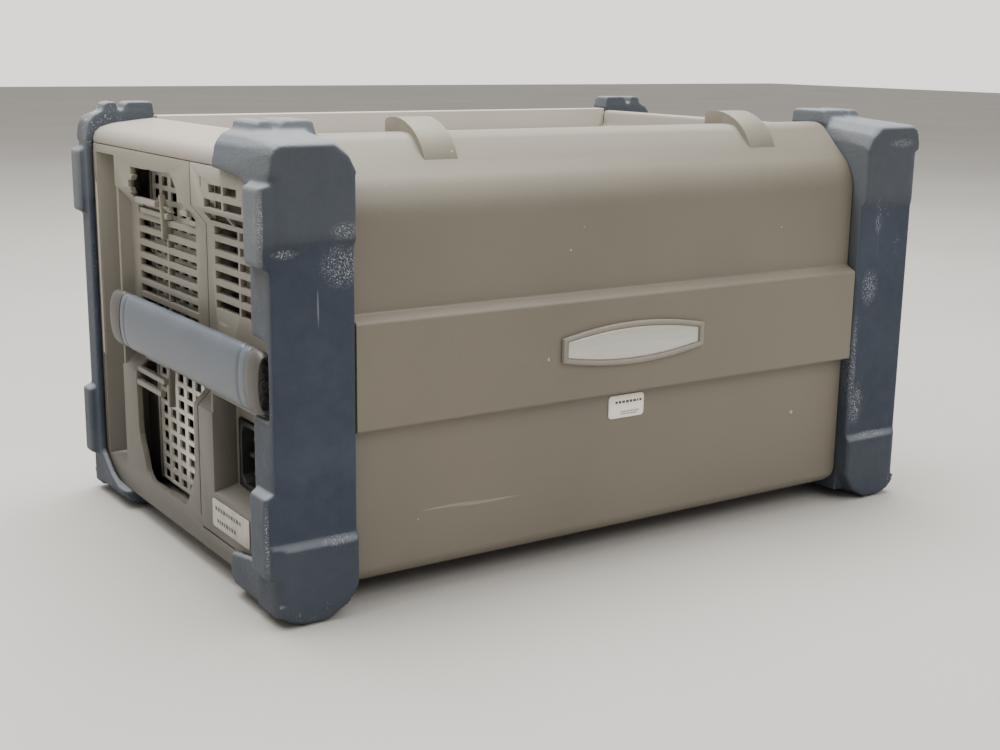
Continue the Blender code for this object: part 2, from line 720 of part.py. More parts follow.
def connectors():
    for name, centre in connector_layout():
        bm = bmesh.new()
        if name.startswith("bnc"):
            steps = ((146.0, 4.8), (153.3, 4.8), (153.3, 7.2), (155.6, 7.2), (155.6, 4.8), (161.5, 4.8))
        else:
            steps = ((146.0, 4.6), (153.3, 4.6), (153.3, 8.6), (155.2, 8.6), (155.2, 6.0), (160.5, 6.0))
        add_loft(bm, [along("X", ring(centre, radius, 16), x) for x, radius in steps])
        item = finish(name, bm, STEEL, 40)
        cut(item, lambda tool: add_prism(tool, "X", ring(centre, 3.3, 12), 155.8, 170.0))


def top_cover():
    """Moulded top with rounded shoulders and a sunk tray between them."""
    tray = TRAY_HALF
    floor = TRAY_FLOOR
    outer = [(PANEL, SEAM), (PANEL, 169.4), (161.8, 172.0), (159.4, 174.0), (154.0, 175.6),
             (140.0, 177.2), (tray + 3.0, 177.7), (tray + 0.8, 177.2), (tray, 175.8),
             (tray, floor + 2.6), (tray - 0.8, floor + 0.8), (tray - 2.6, floor)]
    inner = [(PANEL - SHEET, SEAM), (PANEL - SHEET, 169.0), (158.4, 171.0), (153.4, 173.1),
             (139.8, 174.7), (tray + SHEET + 0.6, 175.0), (tray + SHEET, 174.4), (tray + SHEET, floor),
             (tray + 1.3, floor - 1.8), (tray - 1.0, floor - SHEET)]
    section = mirrored(outer) + [(-a, b) for a, b in inner] + [(a, b) for a, b in reversed(inner)]
    return prism("top_cover", "Y", section, COVER_FRONT, COVER_BACK, CASE_GREY)


def bottom_cover():
    edge = PANEL - SHEET - GAP
    item = box("bottom_cover", (-edge, edge), (COVER_FRONT, COVER_BACK), (CASE_BOTTOM, 11.8), CASE_GREY)

    def slots(bm):
        for i in range(6):
            y = FRONT + 90.0 + 10.0 * i
            add_box(bm, (60.0, 120.0), (y, y + 4.0), (5.0, 15.0))

    cut(item, slots)
    return item


def rear_panel():
    outline = mirrored([(PANEL - GAP, CASE_BOTTOM), (PANEL - GAP, SEAM), (BUMPER_INNER - GAP, SEAM),
                        (BUMPER_INNER - GAP, 178.7)])
    item = prism("rear_panel", "Y", outline, FRONT + 198.0, FRONT + 203.7, CASE_GREY)

    def field(bm):
        add_prism(bm, "Y", rounded((-118.0, 24.0), (118.0, 164.0), 8.0), FRONT + 202.2, FRONT + 210.0)

    def screw_holes(bm):
        for _, centre in rear_screw_layout():
            add_prism(bm, "Y", ring(centre, 2.4, 10), FRONT + 190.0, FRONT + 210.0)

    cut(item, field, screw_holes)
    return item


def rear_screw_layout():
    places = []
    for x in (-124.5, 124.5):
        for z in (17.0, 160.5):
            places.append((x, z))
    return [("rear_screw_" + str(i + 1), place) for i, place in enumerate(places)]


def rear_screws():
    for name, centre in rear_screw_layout():
        bm = bmesh.new()
        steps = ((190.0, 1.9), (204.0, 1.9), (204.0, 4.0), (205.4, 3.6), (206.2, 2.4))
        add_loft(bm, [along("Y", ring(centre, radius, 12), FRONT + y) for y, radius in steps])
        item = finish(name, bm, STEEL, 40)

        def recess(tool):
            add_box(tool, (centre[0] - 0.5, centre[0] + 0.5), (FRONT + 204.9, FRONT + 210.0),
                    (centre[1] - 1.9, centre[1] + 1.9))

        cut(item, recess)


# --------------------------------------------------------------------------- inside

def chassis():
    """Bent sheet: floor and two side walls, with openings for the fans and the inlet."""
    half = 147.5
    sheet = 1.5
    floor = 12.9
    top = 165.0
    outline = [(half, floor), (half, top), (half - sheet, top), (half - sheet, floor + sheet),
               (-half + sheet, floor + sheet), (-half + sheet, top), (-half, top), (-half, floor)]
    item = prism("chassis", "Y", outline, FRONT + 54.0, FRONT + 196.0, STEEL)

    def openings(tool):
        for height in FAN_HEIGHTS:
            add_prism(tool, "X", ring((FAN_Y, height), 28.5, 24), -half - 5.0, -half + 8.0)
        add_box(tool, (-half - 5.0, -half + 8.0), (FRONT + 40.0, FRONT + 64.5), (36.0, 69.0))
        add_prism(tool, "X", ring((POST_BACK_Y, HANDLE_Z), POST_RADIUS + 1.5, 12), -half - 5.0, -half + 8.0)
        for _, centre in connector_layout():
            add_prism(tool, "X", ring(centre, 8.0, 12), half - 8.0, half + 5.0)

    cut(item, openings)
    return item


def fans():
    half = FAN_SIZE / 2 - 0.5
    fan_back = FAN_FACE + FAN_DEPTH
    for index, height in enumerate(FAN_HEIGHTS):
        number = str(index + 1)
        outline = rounded((FAN_Y - half, height - half), (FAN_Y + half, height + half), 3.0, 2)
        frame = prism("fan_frame_" + number, "X", outline, FAN_FACE, fan_back, BLACK)
        duct = ring((FAN_Y, height), 27.5, 28)
        cut(frame, lambda bm: add_prism(bm, "X", duct, FAN_FACE - 3.0, fan_back + 3.0))

        def motor_seat(bm):
            add_prism(bm, "X", ring((FAN_Y, height), 11.0, 16), fan_back - 4.0, fan_back - 1.0)

        def spokes(bm):
            for turn in range(4):
                angle = math.radians(45 + 90 * turn)
                direction = Vector((math.cos(angle), math.sin(angle)))
                across = Vector((-direction.y, direction.x)) * 1.6
                near = direction * 9.0
                far = direction * 28.2
                arm = [near + across, near - across, far - across, far + across]
                add_prism(bm, "X", [(FAN_Y + p.x, height + p.y) for p in arm], fan_back - 3.8, fan_back - 1.2)

        join(frame, motor_seat, spokes)
        fan_rotor("fan_rotor_" + number, height)


def fan_rotor(name, height):
    """Hub with seven twisted blades, its origin on the spin axis."""
    centre = Vector((FAN_FACE + 10.0, FAN_Y, height))
    bm = bmesh.new()
    add_prism(bm, "X", ring((0.0, 0.0), 11.0, 21), -8.0, 9.6)
    item = finish(name, bm, DARK_GREY, 40)

    def blades(tool):
        count = 7
        for i in range(count):
            base = 2 * math.pi * i / count
            sections = []
            for radius, lean in ((9.5, 0.36), (26.0, 0.24)):
                ring_points = []
                for x, swing in ((-6.5, -1.0), (7.0, 1.0)):
                    for edge in (-0.9, 0.9):
                        angle = base + swing * lean + edge / radius
                        ring_points.append((x, radius * math.cos(angle), radius * math.sin(angle)))
                sections.append([ring_points[0], ring_points[1], ring_points[3], ring_points[2]])
            add_loft(tool, sections)

    join(item, blades)
    item.location = centre * MM


def inside_boards():
    board = box("main_board", (-112.0, 140.0), (FRONT + 66.0, FRONT + 190.0), (84.0, 85.6), BOARD_GREEN)

    def chips(bm):
        for x, y, width, depth, height in ((-60.0, 100.0, 34.0, 34.0, 3.0), (10.0, 96.0, 28.0, 28.0, 3.4),
                                           (70.0, 130.0, 22.0, 30.0, 5.0), (-20.0, 150.0, 40.0, 16.0, 8.0)):
            add_box(bm, (x, x + width), (FRONT + y, FRONT + y + depth), (85.0, 85.6 + height))

    join(board, chips)
    supply = box("power_supply", (-108.0, -8.0), (FRONT + 70.0, FRONT + 180.0), (15.0, 78.0), STEEL)

    def vents(bm):
        for i in range(6):
            y = FRONT + 92.0 + 11.0 * i
            add_box(bm, (-90.0, -26.0), (y, y + 4.0), (76.0, 90.0))

    cut(supply, vents)
    module = box("measurement_module", (6.0, 140.0), (FRONT + 66.0, FRONT + 186.0), (15.0, 46.0), ALUMINIUM)

    def fins(bm):
        for i in range(8):
            x = 16.0 + 15.0 * i
            add_box(bm, (x, x + 4.0), (FRONT + 80.0, FRONT + 172.0), (40.0, 50.0))

    cut(module, fins)


# --------------------------------------------------------------------------- handle

def handle():
    """Oval grip on a steel strap, an end cap and a sliding post at each end."""
    half_x = 4.2
    half_z = 12.2

    def oval(scale_x, scale_z, count=20):
        points = []
        for i in range(count):
            angle = 2 * math.pi * i / count
            c, s = math.cos(angle), math.sin(angle)
            x = half_x * scale_x * math.copysign(abs(c) ** 0.8, c)
            z = half_z * scale_z * math.copysign(abs(s) ** 0.9, s)
            points.append((HANDLE_X + x, HANDLE_Z + z))
        return points

    grip = bmesh.new()
    stations = ((GRIP_FRONT, 1.0, 1.0), (GRIP_FRONT + 3.0, 0.86, 0.97), (GRIP_FRONT + 7.5, 1.0, 1.0),
                (GRIP_BACK - 7.5, 1.0, 1.0), (GRIP_BACK - 3.0, 0.86, 0.97), (GRIP_BACK, 1.0, 1.0))
    add_loft(grip, [along("Y", oval(sx, sz), y) for y, sx, sz in stations])
    item = finish("handle_grip", grip, GRIP_BLUE, 50)
    slot_x = (HANDLE_X - 1.1, HANDLE_X + 1.1)
    slot_z = (HANDLE_Z - 8.3, HANDLE_Z + 8.3)
    cut(item, lambda bm: add_box(bm, slot_x, (GRIP_FRONT - 5.0, GRIP_BACK + 5.0), slot_z))
    box("handle_strap", (HANDLE_X - 0.75, HANDLE_X + 0.75), (GRIP_FRONT - 5.0, GRIP_BACK + 6.0),
        (HANDLE_Z - 8.0, HANDLE_Z + 8.0), STEEL)

    for name, start, end, tip in (("handle_cap_front", GRIP_FRONT - GAP, HANDLE_FRONT, -1),
                                  ("handle_cap_rear", GRIP_BACK + GAP, HANDLE_BACK, 1)):
        bm = bmesh.new()
        length = end - start
        add_loft(bm, [along("Y", oval(1.0, 1.0), start), along("Y", oval(1.0, 1.0), start + 0.6 * length),
                      along("Y", oval(0.9, 0.95), start + 0.9 * length), along("Y", oval(0.7, 0.86), end)])
        cap = finish(name, bm, CASE_GREY, 50)
        reach = sorted((start - tip * 3.0, start + tip * (6.2 if tip < 0 else 7.0)))
        cut(cap, lambda tool: add_box(tool, slot_x, reach, slot_z))
    for name, y in (("handle_post_front", POST_FRONT_Y), ("handle_post_rear", POST_BACK_Y)):
        prism(name, "X", ring((y, HANDLE_Z), POST_RADIUS, 12), HANDLE_X + half_x + GAP, HANDLE_X + 30.0,
              STEEL, 40)


def left_labels():
    """Rating label on the lower front corner of the left panel."""
    prism("rating_label", "X", rounded((FRONT + 32.0, 21.4), (FRONT + 68.0, 33.2), 1.2), -PANEL - 0.45,
          -PANEL - 0.15, LABEL)


def hang(name, point, pieces):
    """Parent pieces to an empty on their joint's axis, each keeping its place."""
    pivot = bpy.data.objects.new(name, None)
    pivot.location = Vector(point) * MM
    bpy.context.scene.collection.objects.link(pivot)
    for piece in pieces:
        item = bpy.data.objects[piece]
        item.parent = pivot
        item.matrix_parent_inverse = Matrix.Translation(pivot.location).inverted()


def main():
    clear_scene()
    bumpers()
    front_lid()
    hinge_pins()
    lid_trim()
    front_frame()
    front_keys()
    display()
    left_panel()
    inlet()
    fan_screen()
    left_labels()
    right_panel()
    connector_plate()
    connectors()
    top_cover()
    bottom_cover()
    rear_panel()
    rear_screws()
    chassis()
    fans()
    inside_boards()
    handle()
    hang("lid_pivot", (0.0, *LID_HINGE),
         ("front_cover", "lid_pin_left", "lid_pin_right", "nameplate_rim", "nameplate", "serial_label"))
    hang("handle_pivot", (HANDLE_X, (HANDLE_FRONT + HANDLE_BACK) / 2, HANDLE_Z),
         ("handle_grip", "handle_strap", "handle_cap_front", "handle_cap_rear", "handle_post_front",
          "handle_post_rear"))


main()
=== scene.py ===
"""Looks of the portable test set: rubber corner bumpers, lid, slotted left panel, handle and covers.

Lengths are millimetres in the part's own frame (+X right, +Y back, +Z up); finished meshes are in metres.
"""
import math
import random

import bmesh
import bpy
import numpy as np
from mathutils import Matrix, Vector


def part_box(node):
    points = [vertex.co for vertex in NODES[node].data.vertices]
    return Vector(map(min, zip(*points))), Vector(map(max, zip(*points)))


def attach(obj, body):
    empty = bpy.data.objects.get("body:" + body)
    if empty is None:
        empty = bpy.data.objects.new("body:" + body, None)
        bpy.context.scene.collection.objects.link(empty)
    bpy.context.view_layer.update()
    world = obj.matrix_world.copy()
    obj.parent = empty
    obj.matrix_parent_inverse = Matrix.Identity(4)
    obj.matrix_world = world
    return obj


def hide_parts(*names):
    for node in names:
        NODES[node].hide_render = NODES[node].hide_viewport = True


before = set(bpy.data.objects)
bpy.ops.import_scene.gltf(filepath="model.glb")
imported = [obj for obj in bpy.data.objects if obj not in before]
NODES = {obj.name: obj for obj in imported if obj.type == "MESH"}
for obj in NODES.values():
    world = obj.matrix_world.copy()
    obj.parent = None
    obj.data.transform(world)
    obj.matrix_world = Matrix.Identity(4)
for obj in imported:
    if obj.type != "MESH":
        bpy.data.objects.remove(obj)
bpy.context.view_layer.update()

MM = 0.001


def corner(node, which, axis):
    """One coordinate of a CAD node's box in millimetres; which is 0 for low and 1 for high."""
    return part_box(node)[which][axis] / MM


FRONT = corner("bumper_front_left", 0, 1)
PANEL_X = corner("left_side_panel", 0, 0)
LID_LOW_X = corner("front_cover", 0, 0)
LID_HIGH_X = corner("front_cover", 1, 0)
LID_FACE = FRONT + 8.0
BAND_FACE = corner("front_cover", 0, 1)
GRIP_LOW = [corner("handle_grip", 0, axis) for axis in range(3)]
GRIP_HIGH = [corner("handle_grip", 1, axis) for axis in range(3)]
SCREEN_LOW = [corner("fan_screen", 0, axis) for axis in range(3)]
SCREEN_HIGH = [corner("fan_screen", 1, axis) for axis in range(3)]


# --------------------------------------------------------------------------- materials

def srgb(code):
    """sRGB hex colour as linear RGBA."""
    values = []
    for start in (0, 2, 4):
        channel = int(code[start:start + 2], 16) / 255.0
        values.append(channel / 12.92 if channel <= 0.04045 else ((channel + 0.055) / 1.055) ** 2.4)
    return (*values, 1.0)


RAMP = "ShaderNodeValToRGB"
NOISE = "ShaderNodeTexNoise"
MATH = "ShaderNodeMath"
MIX = "ShaderNodeMix"
BUMP = "ShaderNodeBump"


def set_stops(elements, stops):
    """Fill a colour ramp from (position, hex or grey) stops."""
    while len(elements) < len(stops):
        elements.new(0.5)
    for element, (position, colour) in zip(elements, stops):
        element.position = position
        element.color = srgb(colour) if isinstance(colour, str) else (colour, colour, colour, 1.0)


def connect(tree, target, **links):
    """Set a node's inputs, each from a value or from another node's output."""
    for key, value in links.items():
        socket = target.inputs[int(key[1:]) if key[1:].isdigit() else key.replace("_", " ")]
        if isinstance(value, bpy.types.NodeSocket):
            tree.links.new(value, socket)
        else:
            socket.default_value = value


def node(tree, kind, settings=None, **links):
    """Add a shader or geometry node with its settings and links.

    A link is an input's name, or i and its number, with a value or another node's output. The setting
    "stops" fills a colour ramp.
    """
    made = tree.nodes.new(kind)
    for key, value in (settings or {}).items():
        if key == "stops":
            set_stops(made.color_ramp.elements, value)
        else:
            setattr(made, key, value)
    connect(tree, made, **links)
    return made


def blank(name):
    """A new material; returns it, its tree, its shader and the point in the object's own frame."""
    mat = bpy.data.materials.new(name)
    mat.use_nodes = True
    tree = mat.node_tree
    return mat, tree, tree.nodes["Principled BSDF"], node(tree, "ShaderNodeTexCoord").outputs["Object"]


# Plane of the front bumpers' faces and the depth of the chalky knocks on it, in metres.
RUB_PLANE = -0.103
RUB_DEPTH = 0.012
# Middle x and z, half width and half height of each knock, in metres.
CHALK_RUBS = ((-0.1370, 0.1345, 0.010, 0.009), (-0.1400, 0.0310, 0.009, 0.0022),
              (-0.1365, 0.1475, 0.007, 0.004),
              (-0.1600, 0.1400, 0.006, 0.002), (0.1410, 0.1040, 0.006, 0.010), (0.1440, 0.1340, 0.0025, 0.006),
              (0.1335, 0.0650, 0.0022, 0.032), (0.1370, 0.0480, 0.005, 0.012), (0.1480, 0.0315, 0.014, 0.0022),
              (0.1540, 0.1710, 0.010, 0.0025), (-0.1690, 0.1500, 0.0010, 0.015),
              (-0.1690, 0.0350, 0.0008, 0.017))


def bumper_rubber():
    """Moulded thermoplastic rubber: matt, leather grain, edges rubbed pale and chalky scuffs."""
    mat, tree, shader, point = blank("moulded TPE rubber, navy")
    broad = node(tree, NOISE, Vector=point, Scale=22.0, Detail=4.0, Roughness=0.6).outputs["Fac"]
    base = node(tree, RAMP, {"stops": [(0.25, "27303e"), (0.55, "2f3846"), (0.80, "394351")]},
                Fac=broad).outputs["Color"]
    # Painted light: faces turned sideways are made paler and greyer than the end faces, fading lower down where
    # painted shade falls.
    normal = node(tree, "ShaderNodeNewGeometry").outputs["Normal"]
    parts = node(tree, "ShaderNodeSeparateXYZ", Vector=normal)
    sideways = node(tree, MATH, {"operation": "ABSOLUTE"}, i0=parts.outputs["X"]).outputs[0]
    side = node(tree, RAMP, {"stops": [(0.55, 0.0), (0.95, 0.62)]}, Fac=sideways).outputs["Color"]
    place_at = node(tree, "ShaderNodeSeparateXYZ", Vector=point)
    height = node(tree, RAMP, {"stops": [(0.040, 0.30), (0.150, 1.0)]},
                  Fac=place_at.outputs["Z"]).outputs["Color"]
    side = node(tree, MATH, {"operation": "MULTIPLY"}, i0=side, i1=height).outputs[0]
    base = node(tree, MIX, {"data_type": "RGBA"}, i0=side, i6=base,
                i7=srgb("585b5e")).outputs[2]
    # Painted highlight: faces pointing up are mixed towards a pale grey.
    painted_top_highlight = node(tree, RAMP, {"stops": [(0.25, 0.0), (0.85, 0.70)]}, Fac=parts.outputs["Z"]).outputs["Color"]
    base = node(tree, MIX, {"data_type": "RGBA"}, i0=painted_top_highlight, i6=base,
                i7=srgb("868c92")).outputs[2]
    # Head, foot and the proud side blocks take the knocks, so they are rubbed greyer than the waist; on the
    # blocks this paling fades lower down, which is painted shade.
    head = node(tree, RAMP, {"stops": [(0.1435, 0.0), (0.1450, 0.45)]},
                Fac=place_at.outputs["Z"]).outputs["Color"]
    foot = node(tree, RAMP, {"stops": [(0.0300, 0.2), (0.0315, 0.0)]},
                Fac=place_at.outputs["Z"]).outputs["Color"]
    base = node(tree, MIX, {"data_type": "RGBA"},
                i0=node(tree, MATH, {"operation": "MAXIMUM"}, i0=head, i1=foot).outputs[0], i6=base,
                i7=srgb("4f5458")).outputs[2]
    outwards = node(tree, MATH, {"operation": "ABSOLUTE"}, i0=place_at.outputs["X"]).outputs[0]
    proud = node(tree, MATH, {"operation": "GREATER_THAN"}, i0=outwards, i1=0.1682).outputs[0]
    # The height factor here is painted shade: the blocks are paled less lower down.
    proud = node(tree, MATH, {"operation": "MULTIPLY"}, i0=proud,
                 i1=node(tree, MATH, {"operation": "MULTIPLY"}, i0=height, i1=0.5).outputs[0]).outputs[0]
    base = node(tree, MIX, {"data_type": "RGBA"}, i0=proud, i6=base,
                i7=srgb("696c70")).outputs[2]
    wear = node(tree, "ShaderNodeAttribute", {"attribute_name": "wear"}).outputs["Fac"]
    fine = node(tree, NOISE, Vector=point, Scale=900.0, Detail=3.0, Roughness=0.7).outputs["Fac"]
    medium = node(tree, NOISE, Vector=point, Scale=160.0, Detail=3.0, Roughness=0.65).outputs["Fac"]
    rubbed = node(tree, MATH, {"operation": "MULTIPLY"}, i0=wear,
                  i1=node(tree, RAMP, {"stops": [(0.38, 0.15), (0.62, 1.0)]},
                          Fac=medium).outputs["Color"]).outputs[0]
    rubbed = node(tree, RAMP, {"stops": [(0.35, 0.0), (1.0, 0.30)]}, Fac=rubbed).outputs["Color"]
    base = node(tree, MIX, {"data_type": "RGBA"}, i0=rubbed, i6=base,
                i7=srgb("6d737b")).outputs[2]
    # Chalky speckle: grains about 1 mm across inside patches some 30 mm across.
    patches = node(tree, NOISE, Vector=point, Scale=34.0, Detail=2.0, Roughness=0.55).outputs["Fac"]
    patch = node(tree, RAMP, {"stops": [(0.61, 0.0), (0.70, 1.0)]}, Fac=patches).outputs["Color"]
    grains = node(tree, RAMP, {"stops": [(0.60, 0.0), (0.65, 0.9)]}, Fac=fine).outputs["Color"]
    chalk = node(tree, MATH, {"operation": "MULTIPLY"}, i0=patch, i1=grains).outputs[0]
    edge_patch = node(tree, MATH, {"operation": "MULTIPLY"},
                      i0=node(tree, RAMP, {"stops": [(0.60, 0.0), (0.95, 1.0)]}, Fac=wear).outputs["Color"],
                      i1=node(tree, RAMP, {"stops": [(0.50, 0.0), (0.58, 1.0)]},
                              Fac=patches).outputs["Color"]).outputs[0]
    edge_chalk = node(tree, MATH, {"operation": "MULTIPLY"}, i0=edge_patch,
                      i1=node(tree, RAMP, {"stops": [(0.56, 0.0), (0.62, 0.9)]},
                              Fac=fine).outputs["Color"]).outputs[0]
    chalk = node(tree, MATH, {"operation": "MAXIMUM"}, i0=chalk, i1=edge_chalk).outputs[0]
    dust = node(tree, NOISE, Vector=point, Scale=1700.0, Detail=3.0, Roughness=0.75).outputs["Fac"]
    # Chalky knocks at fixed places.
    rubs = 0.0
    for x, z, half_x, half_z in CHALK_RUBS:
        offset = node(tree, "ShaderNodeVectorMath", {"operation": "SUBTRACT"}, i0=point, i1=(x, RUB_PLANE, z))
        shape = node(tree, "ShaderNodeVectorMath", {"operation": "MULTIPLY"}, i0=offset.outputs["Vector"],
                     i1=(1.0 / half_x, 1.0 / RUB_DEPTH, 1.0 / half_z))
        far = node(tree, "ShaderNodeVectorMath", {"operation": "LENGTH"}, i0=shape.outputs["Vector"])
        near = node(tree, RAMP, {"stops": [(0.22, 1.0), (0.5, 0.0)]},
                    Fac=node(tree, MATH, {"operation": "MULTIPLY"}, i0=far.outputs["Value"],
                             i1=0.5).outputs[0]).outputs["Color"]
        rubs = node(tree, MATH, {"operation": "MAXIMUM"}, i0=rubs, i1=near).outputs[0]
    rub = node(tree, MATH, {"operation": "MULTIPLY"}, i0=rubs,
               i1=node(tree, RAMP, {"stops": [(0.52, 0.0), (0.64, 0.75)]},
                       Fac=dust).outputs["Color"]).outputs[0]
    chalk = node(tree, MATH, {"operation": "MAXIMUM"}, i0=chalk, i1=rub).outputs[0]
    # Long thin scratches.
    stretched = node(tree, "ShaderNodeMapping", Vector=point, Rotation=(0.3, 0.9, 0.5),
                     Scale=(620.0, 40.0, 34.0))
    lines = node(tree, NOISE, Vector=stretched.outputs["Vector"], Scale=1.0, Detail=1.0,
                 Roughness=0.4).outputs["Fac"]
    scratch = node(tree, RAMP, {"stops": [(0.785, 0.0), (0.83, 0.22)]}, Fac=lines).outputs["Color"]
    chalk = node(tree, MATH, {"operation": "MAXIMUM"}, i0=chalk, i1=scratch).outputs[0]
    base = node(tree, MIX, {"data_type": "RGBA"}, i0=chalk, i6=base,
                i7=srgb("b4b8bb")).outputs[2]
    connect(tree, shader, Base_Color=base)
    rough = node(tree, RAMP, {"stops": [(0.3, 0.62), (0.7, 0.80)]}, Fac=medium).outputs["Color"]
    connect(tree, shader, Roughness=rough, IOR=1.50, Specular_IOR_Level=0.42)
    # Leather grain about 0.8 mm across, drawn a little coarse so that it shows.
    cells = node(tree, "ShaderNodeTexVoronoi", {"feature": "SMOOTH_F1"}, Vector=point, Scale=1050.0)
    grain = node(tree, MATH, {"operation": "ADD"}, i0=cells.outputs["Distance"], i1=fine).outputs[0]
    connect(tree, shader, Normal=node(tree, BUMP, Height=grain, Strength=0.55,
                                      Distance=0.00022).outputs["Normal"])
    return mat


def moulding(name, low, high, pale, soil=0.0, grain_scale=1500.0, rough=(0.46, 0.60)):
    """Injection moulded ABS blend: spark-eroded satin texture, faint handling marks; soil sets painted shade
    that darkens the colour towards the feet.
    """
    mat, tree, shader, point = blank(name)
    broad = node(tree, NOISE, Vector=point, Scale=9.0, Detail=4.0, Roughness=0.6).outputs["Fac"]
    base = node(tree, RAMP, {"stops": [(0.3, low), (0.7, high)]}, Fac=broad).outputs["Color"]
    fine = node(tree, NOISE, Vector=point, Scale=grain_scale, Detail=2.0, Roughness=0.6).outputs["Fac"]
    speck = node(tree, RAMP, {"stops": [(0.30, 0.90), (0.70, 1.08)]}, Fac=fine).outputs["Color"]
    base = node(tree, MIX, {"data_type": "RGBA", "blend_type": "MULTIPLY"}, i0=0.55, i6=base,
                i7=speck).outputs[2]
    # Painted shade: when soil is set, the colour darkens towards the feet.
    if soil > 0.0:
        height = node(tree, "ShaderNodeSeparateXYZ", Vector=point).outputs["Z"]
        painted_low_shade = node(tree, RAMP, {"stops": [(0.020, 1.0 - soil), (0.085, 1.0 - 0.72 * soil), (0.150, 1.0)]},
                    Fac=height).outputs["Color"]
        base = node(tree, MIX, {"data_type": "RGBA", "blend_type": "MULTIPLY"}, i0=1.0, i6=base,
                    i7=painted_low_shade).outputs[2]
    wear = node(tree, "ShaderNodeAttribute", {"attribute_name": "wear"}).outputs["Fac"]
    edge = node(tree, RAMP, {"stops": [(0.45, 0.0), (1.0, 0.22)]}, Fac=wear).outputs["Color"]
    base = node(tree, MIX, {"data_type": "RGBA"}, i0=edge, i6=base,
                i7=srgb(pale)).outputs[2]
    # Hair-fine scratches and a few pale nicks.
    stretched = node(tree, "ShaderNodeMapping", Vector=point, Rotation=(0.2, 0.5, 0.15),
                     Scale=(14.0, 30.0, 320.0))
    lines = node(tree, NOISE, Vector=stretched.outputs["Vector"], Scale=1.0, Detail=1.0,
                 Roughness=0.3).outputs["Fac"]
    scratch = node(tree, RAMP, {"stops": [(0.780, 0.0), (0.82, 0.22)]}, Fac=lines).outputs["Color"]
    nicks = node(tree, NOISE, Vector=point, Scale=240.0, Detail=1.0, Roughness=0.4).outputs["Fac"]
    nick = node(tree, RAMP, {"stops": [(0.825, 0.0), (0.84, 0.6)]}, Fac=nicks).outputs["Color"]
    marks = node(tree, MATH, {"operation": "MAXIMUM"}, i0=scratch, i1=nick).outputs[0]
    base = node(tree, MIX, {"data_type": "RGBA"}, i0=marks, i6=base,
                i7=srgb("c9c5ba")).outputs[2]
    connect(tree, shader, Base_Color=base,
            Roughness=node(tree, RAMP, {"stops": [(0.3, rough[0]), (0.7, rough[1])]},
                           Fac=broad).outputs["Color"], IOR=1.54,
            Normal=node(tree, BUMP, Height=fine, Strength=0.50, Distance=0.00012).outputs["Normal"])
    return mat


def grip_vinyl():
    """Dipped vinyl over a steel strap: satin, slate blue, dulled where hands hold it."""
    mat, tree, shader, point = blank("dipped vinyl, slate blue")
    broad = node(tree, NOISE, Vector=point, Scale=30.0, Detail=4.0, Roughness=0.65).outputs["Fac"]
    base = node(tree, RAMP, {"stops": [(0.3, "444b54"), (0.55, "4f5761"), (0.8, "5c656f")]},
                Fac=broad).outputs["Color"]
    wear = node(tree, "ShaderNodeAttribute", {"attribute_name": "wear"}).outputs["Fac"]
    base = node(tree, MIX, {"data_type": "RGBA"},
                i0=node(tree, RAMP, {"stops": [(0.3, 0.0), (1.0, 0.3)]}, Fac=wear).outputs["Color"], i6=base,
                i7=srgb("747b83")).outputs[2]
    stretched = node(tree, "ShaderNodeMapping", Vector=point, Rotation=(0.0, 0.2, 0.1),
                     Scale=(60.0, 22.0, 300.0))
    lines = node(tree, NOISE, Vector=stretched.outputs["Vector"], Scale=1.0, Detail=2.0,
                 Roughness=0.5).outputs["Fac"]
    base = node(tree, MIX, {"data_type": "RGBA"},
                i0=node(tree, RAMP, {"stops": [(0.74, 0.0), (0.79, 0.3)]}, Fac=lines).outputs["Color"],
                i6=base, i7=srgb("8e949b")).outputs[2]
    connect(tree, shader, Base_Color=base,
            Roughness=node(tree, RAMP, {"stops": [(0.3, 0.36), (0.7, 0.50)]}, Fac=broad).outputs["Color"],
            IOR=1.53)
    fine = node(tree, NOISE, Vector=point, Scale=1400.0, Detail=2.0, Roughness=0.5).outputs["Fac"]
    connect(tree, shader, Normal=node(tree, BUMP, Height=fine, Strength=0.25,
                                      Distance=0.00010).outputs["Normal"])
    return mat


def plated_steel(name, low, high, rough, grain=(700.0, 700.0, 700.0), metal=1.0):
    """Plated steel, and brushed aluminium with a stretched grain: bright, with a cloudy surface."""
    mat, tree, shader, point = blank(name)
    cloud = node(tree, NOISE, Vector=point, Scale=70.0, Detail=4.0, Roughness=0.6).outputs["Fac"]
    connect(tree, shader, Base_Color=node(tree, RAMP, {"stops": [(0.3, low), (0.7, high)]},
                                          Fac=cloud).outputs["Color"],
            Roughness=node(tree, RAMP, {"stops": [(0.3, rough), (0.7, rough + 0.14)]},
                           Fac=cloud).outputs["Color"], Metallic=metal)
    scaled = node(tree, "ShaderNodeMapping", Vector=point, Scale=grain)
    fine = node(tree, NOISE, Vector=scaled.outputs["Vector"], Scale=1.0, Detail=2.0,
                Roughness=0.5).outputs["Fac"]
    connect(tree, shader, Normal=node(tree, BUMP, Height=fine, Strength=0.15,
                                      Distance=0.00004).outputs["Normal"])
    return mat


def plain_plastic(name, low, high, rough, bump_strength=0.3):
    """Smooth moulded plastic with a little mottling."""
    mat, tree, shader, point = blank(name)
    cloud = node(tree, NOISE, Vector=point, Scale=60.0, Detail=3.0, Roughness=0.6).outputs["Fac"]
    connect(tree, shader, Base_Color=node(tree, RAMP, {"stops": [(0.3, low), (0.7, high)]},
                                          Fac=cloud).outputs["Color"],
            Roughness=node(tree, RAMP, {"stops": [(0.3, rough), (0.7, rough + 0.1)]},
                           Fac=cloud).outputs["Color"], IOR=1.54)
    fine = node(tree, NOISE, Vector=point, Scale=1300.0, Detail=2.0, Roughness=0.5).outputs["Fac"]
    connect(tree, shader, Normal=node(tree, BUMP, Height=fine, Strength=bump_strength,
                                      Distance=0.00008).outputs["Normal"])
    return mat


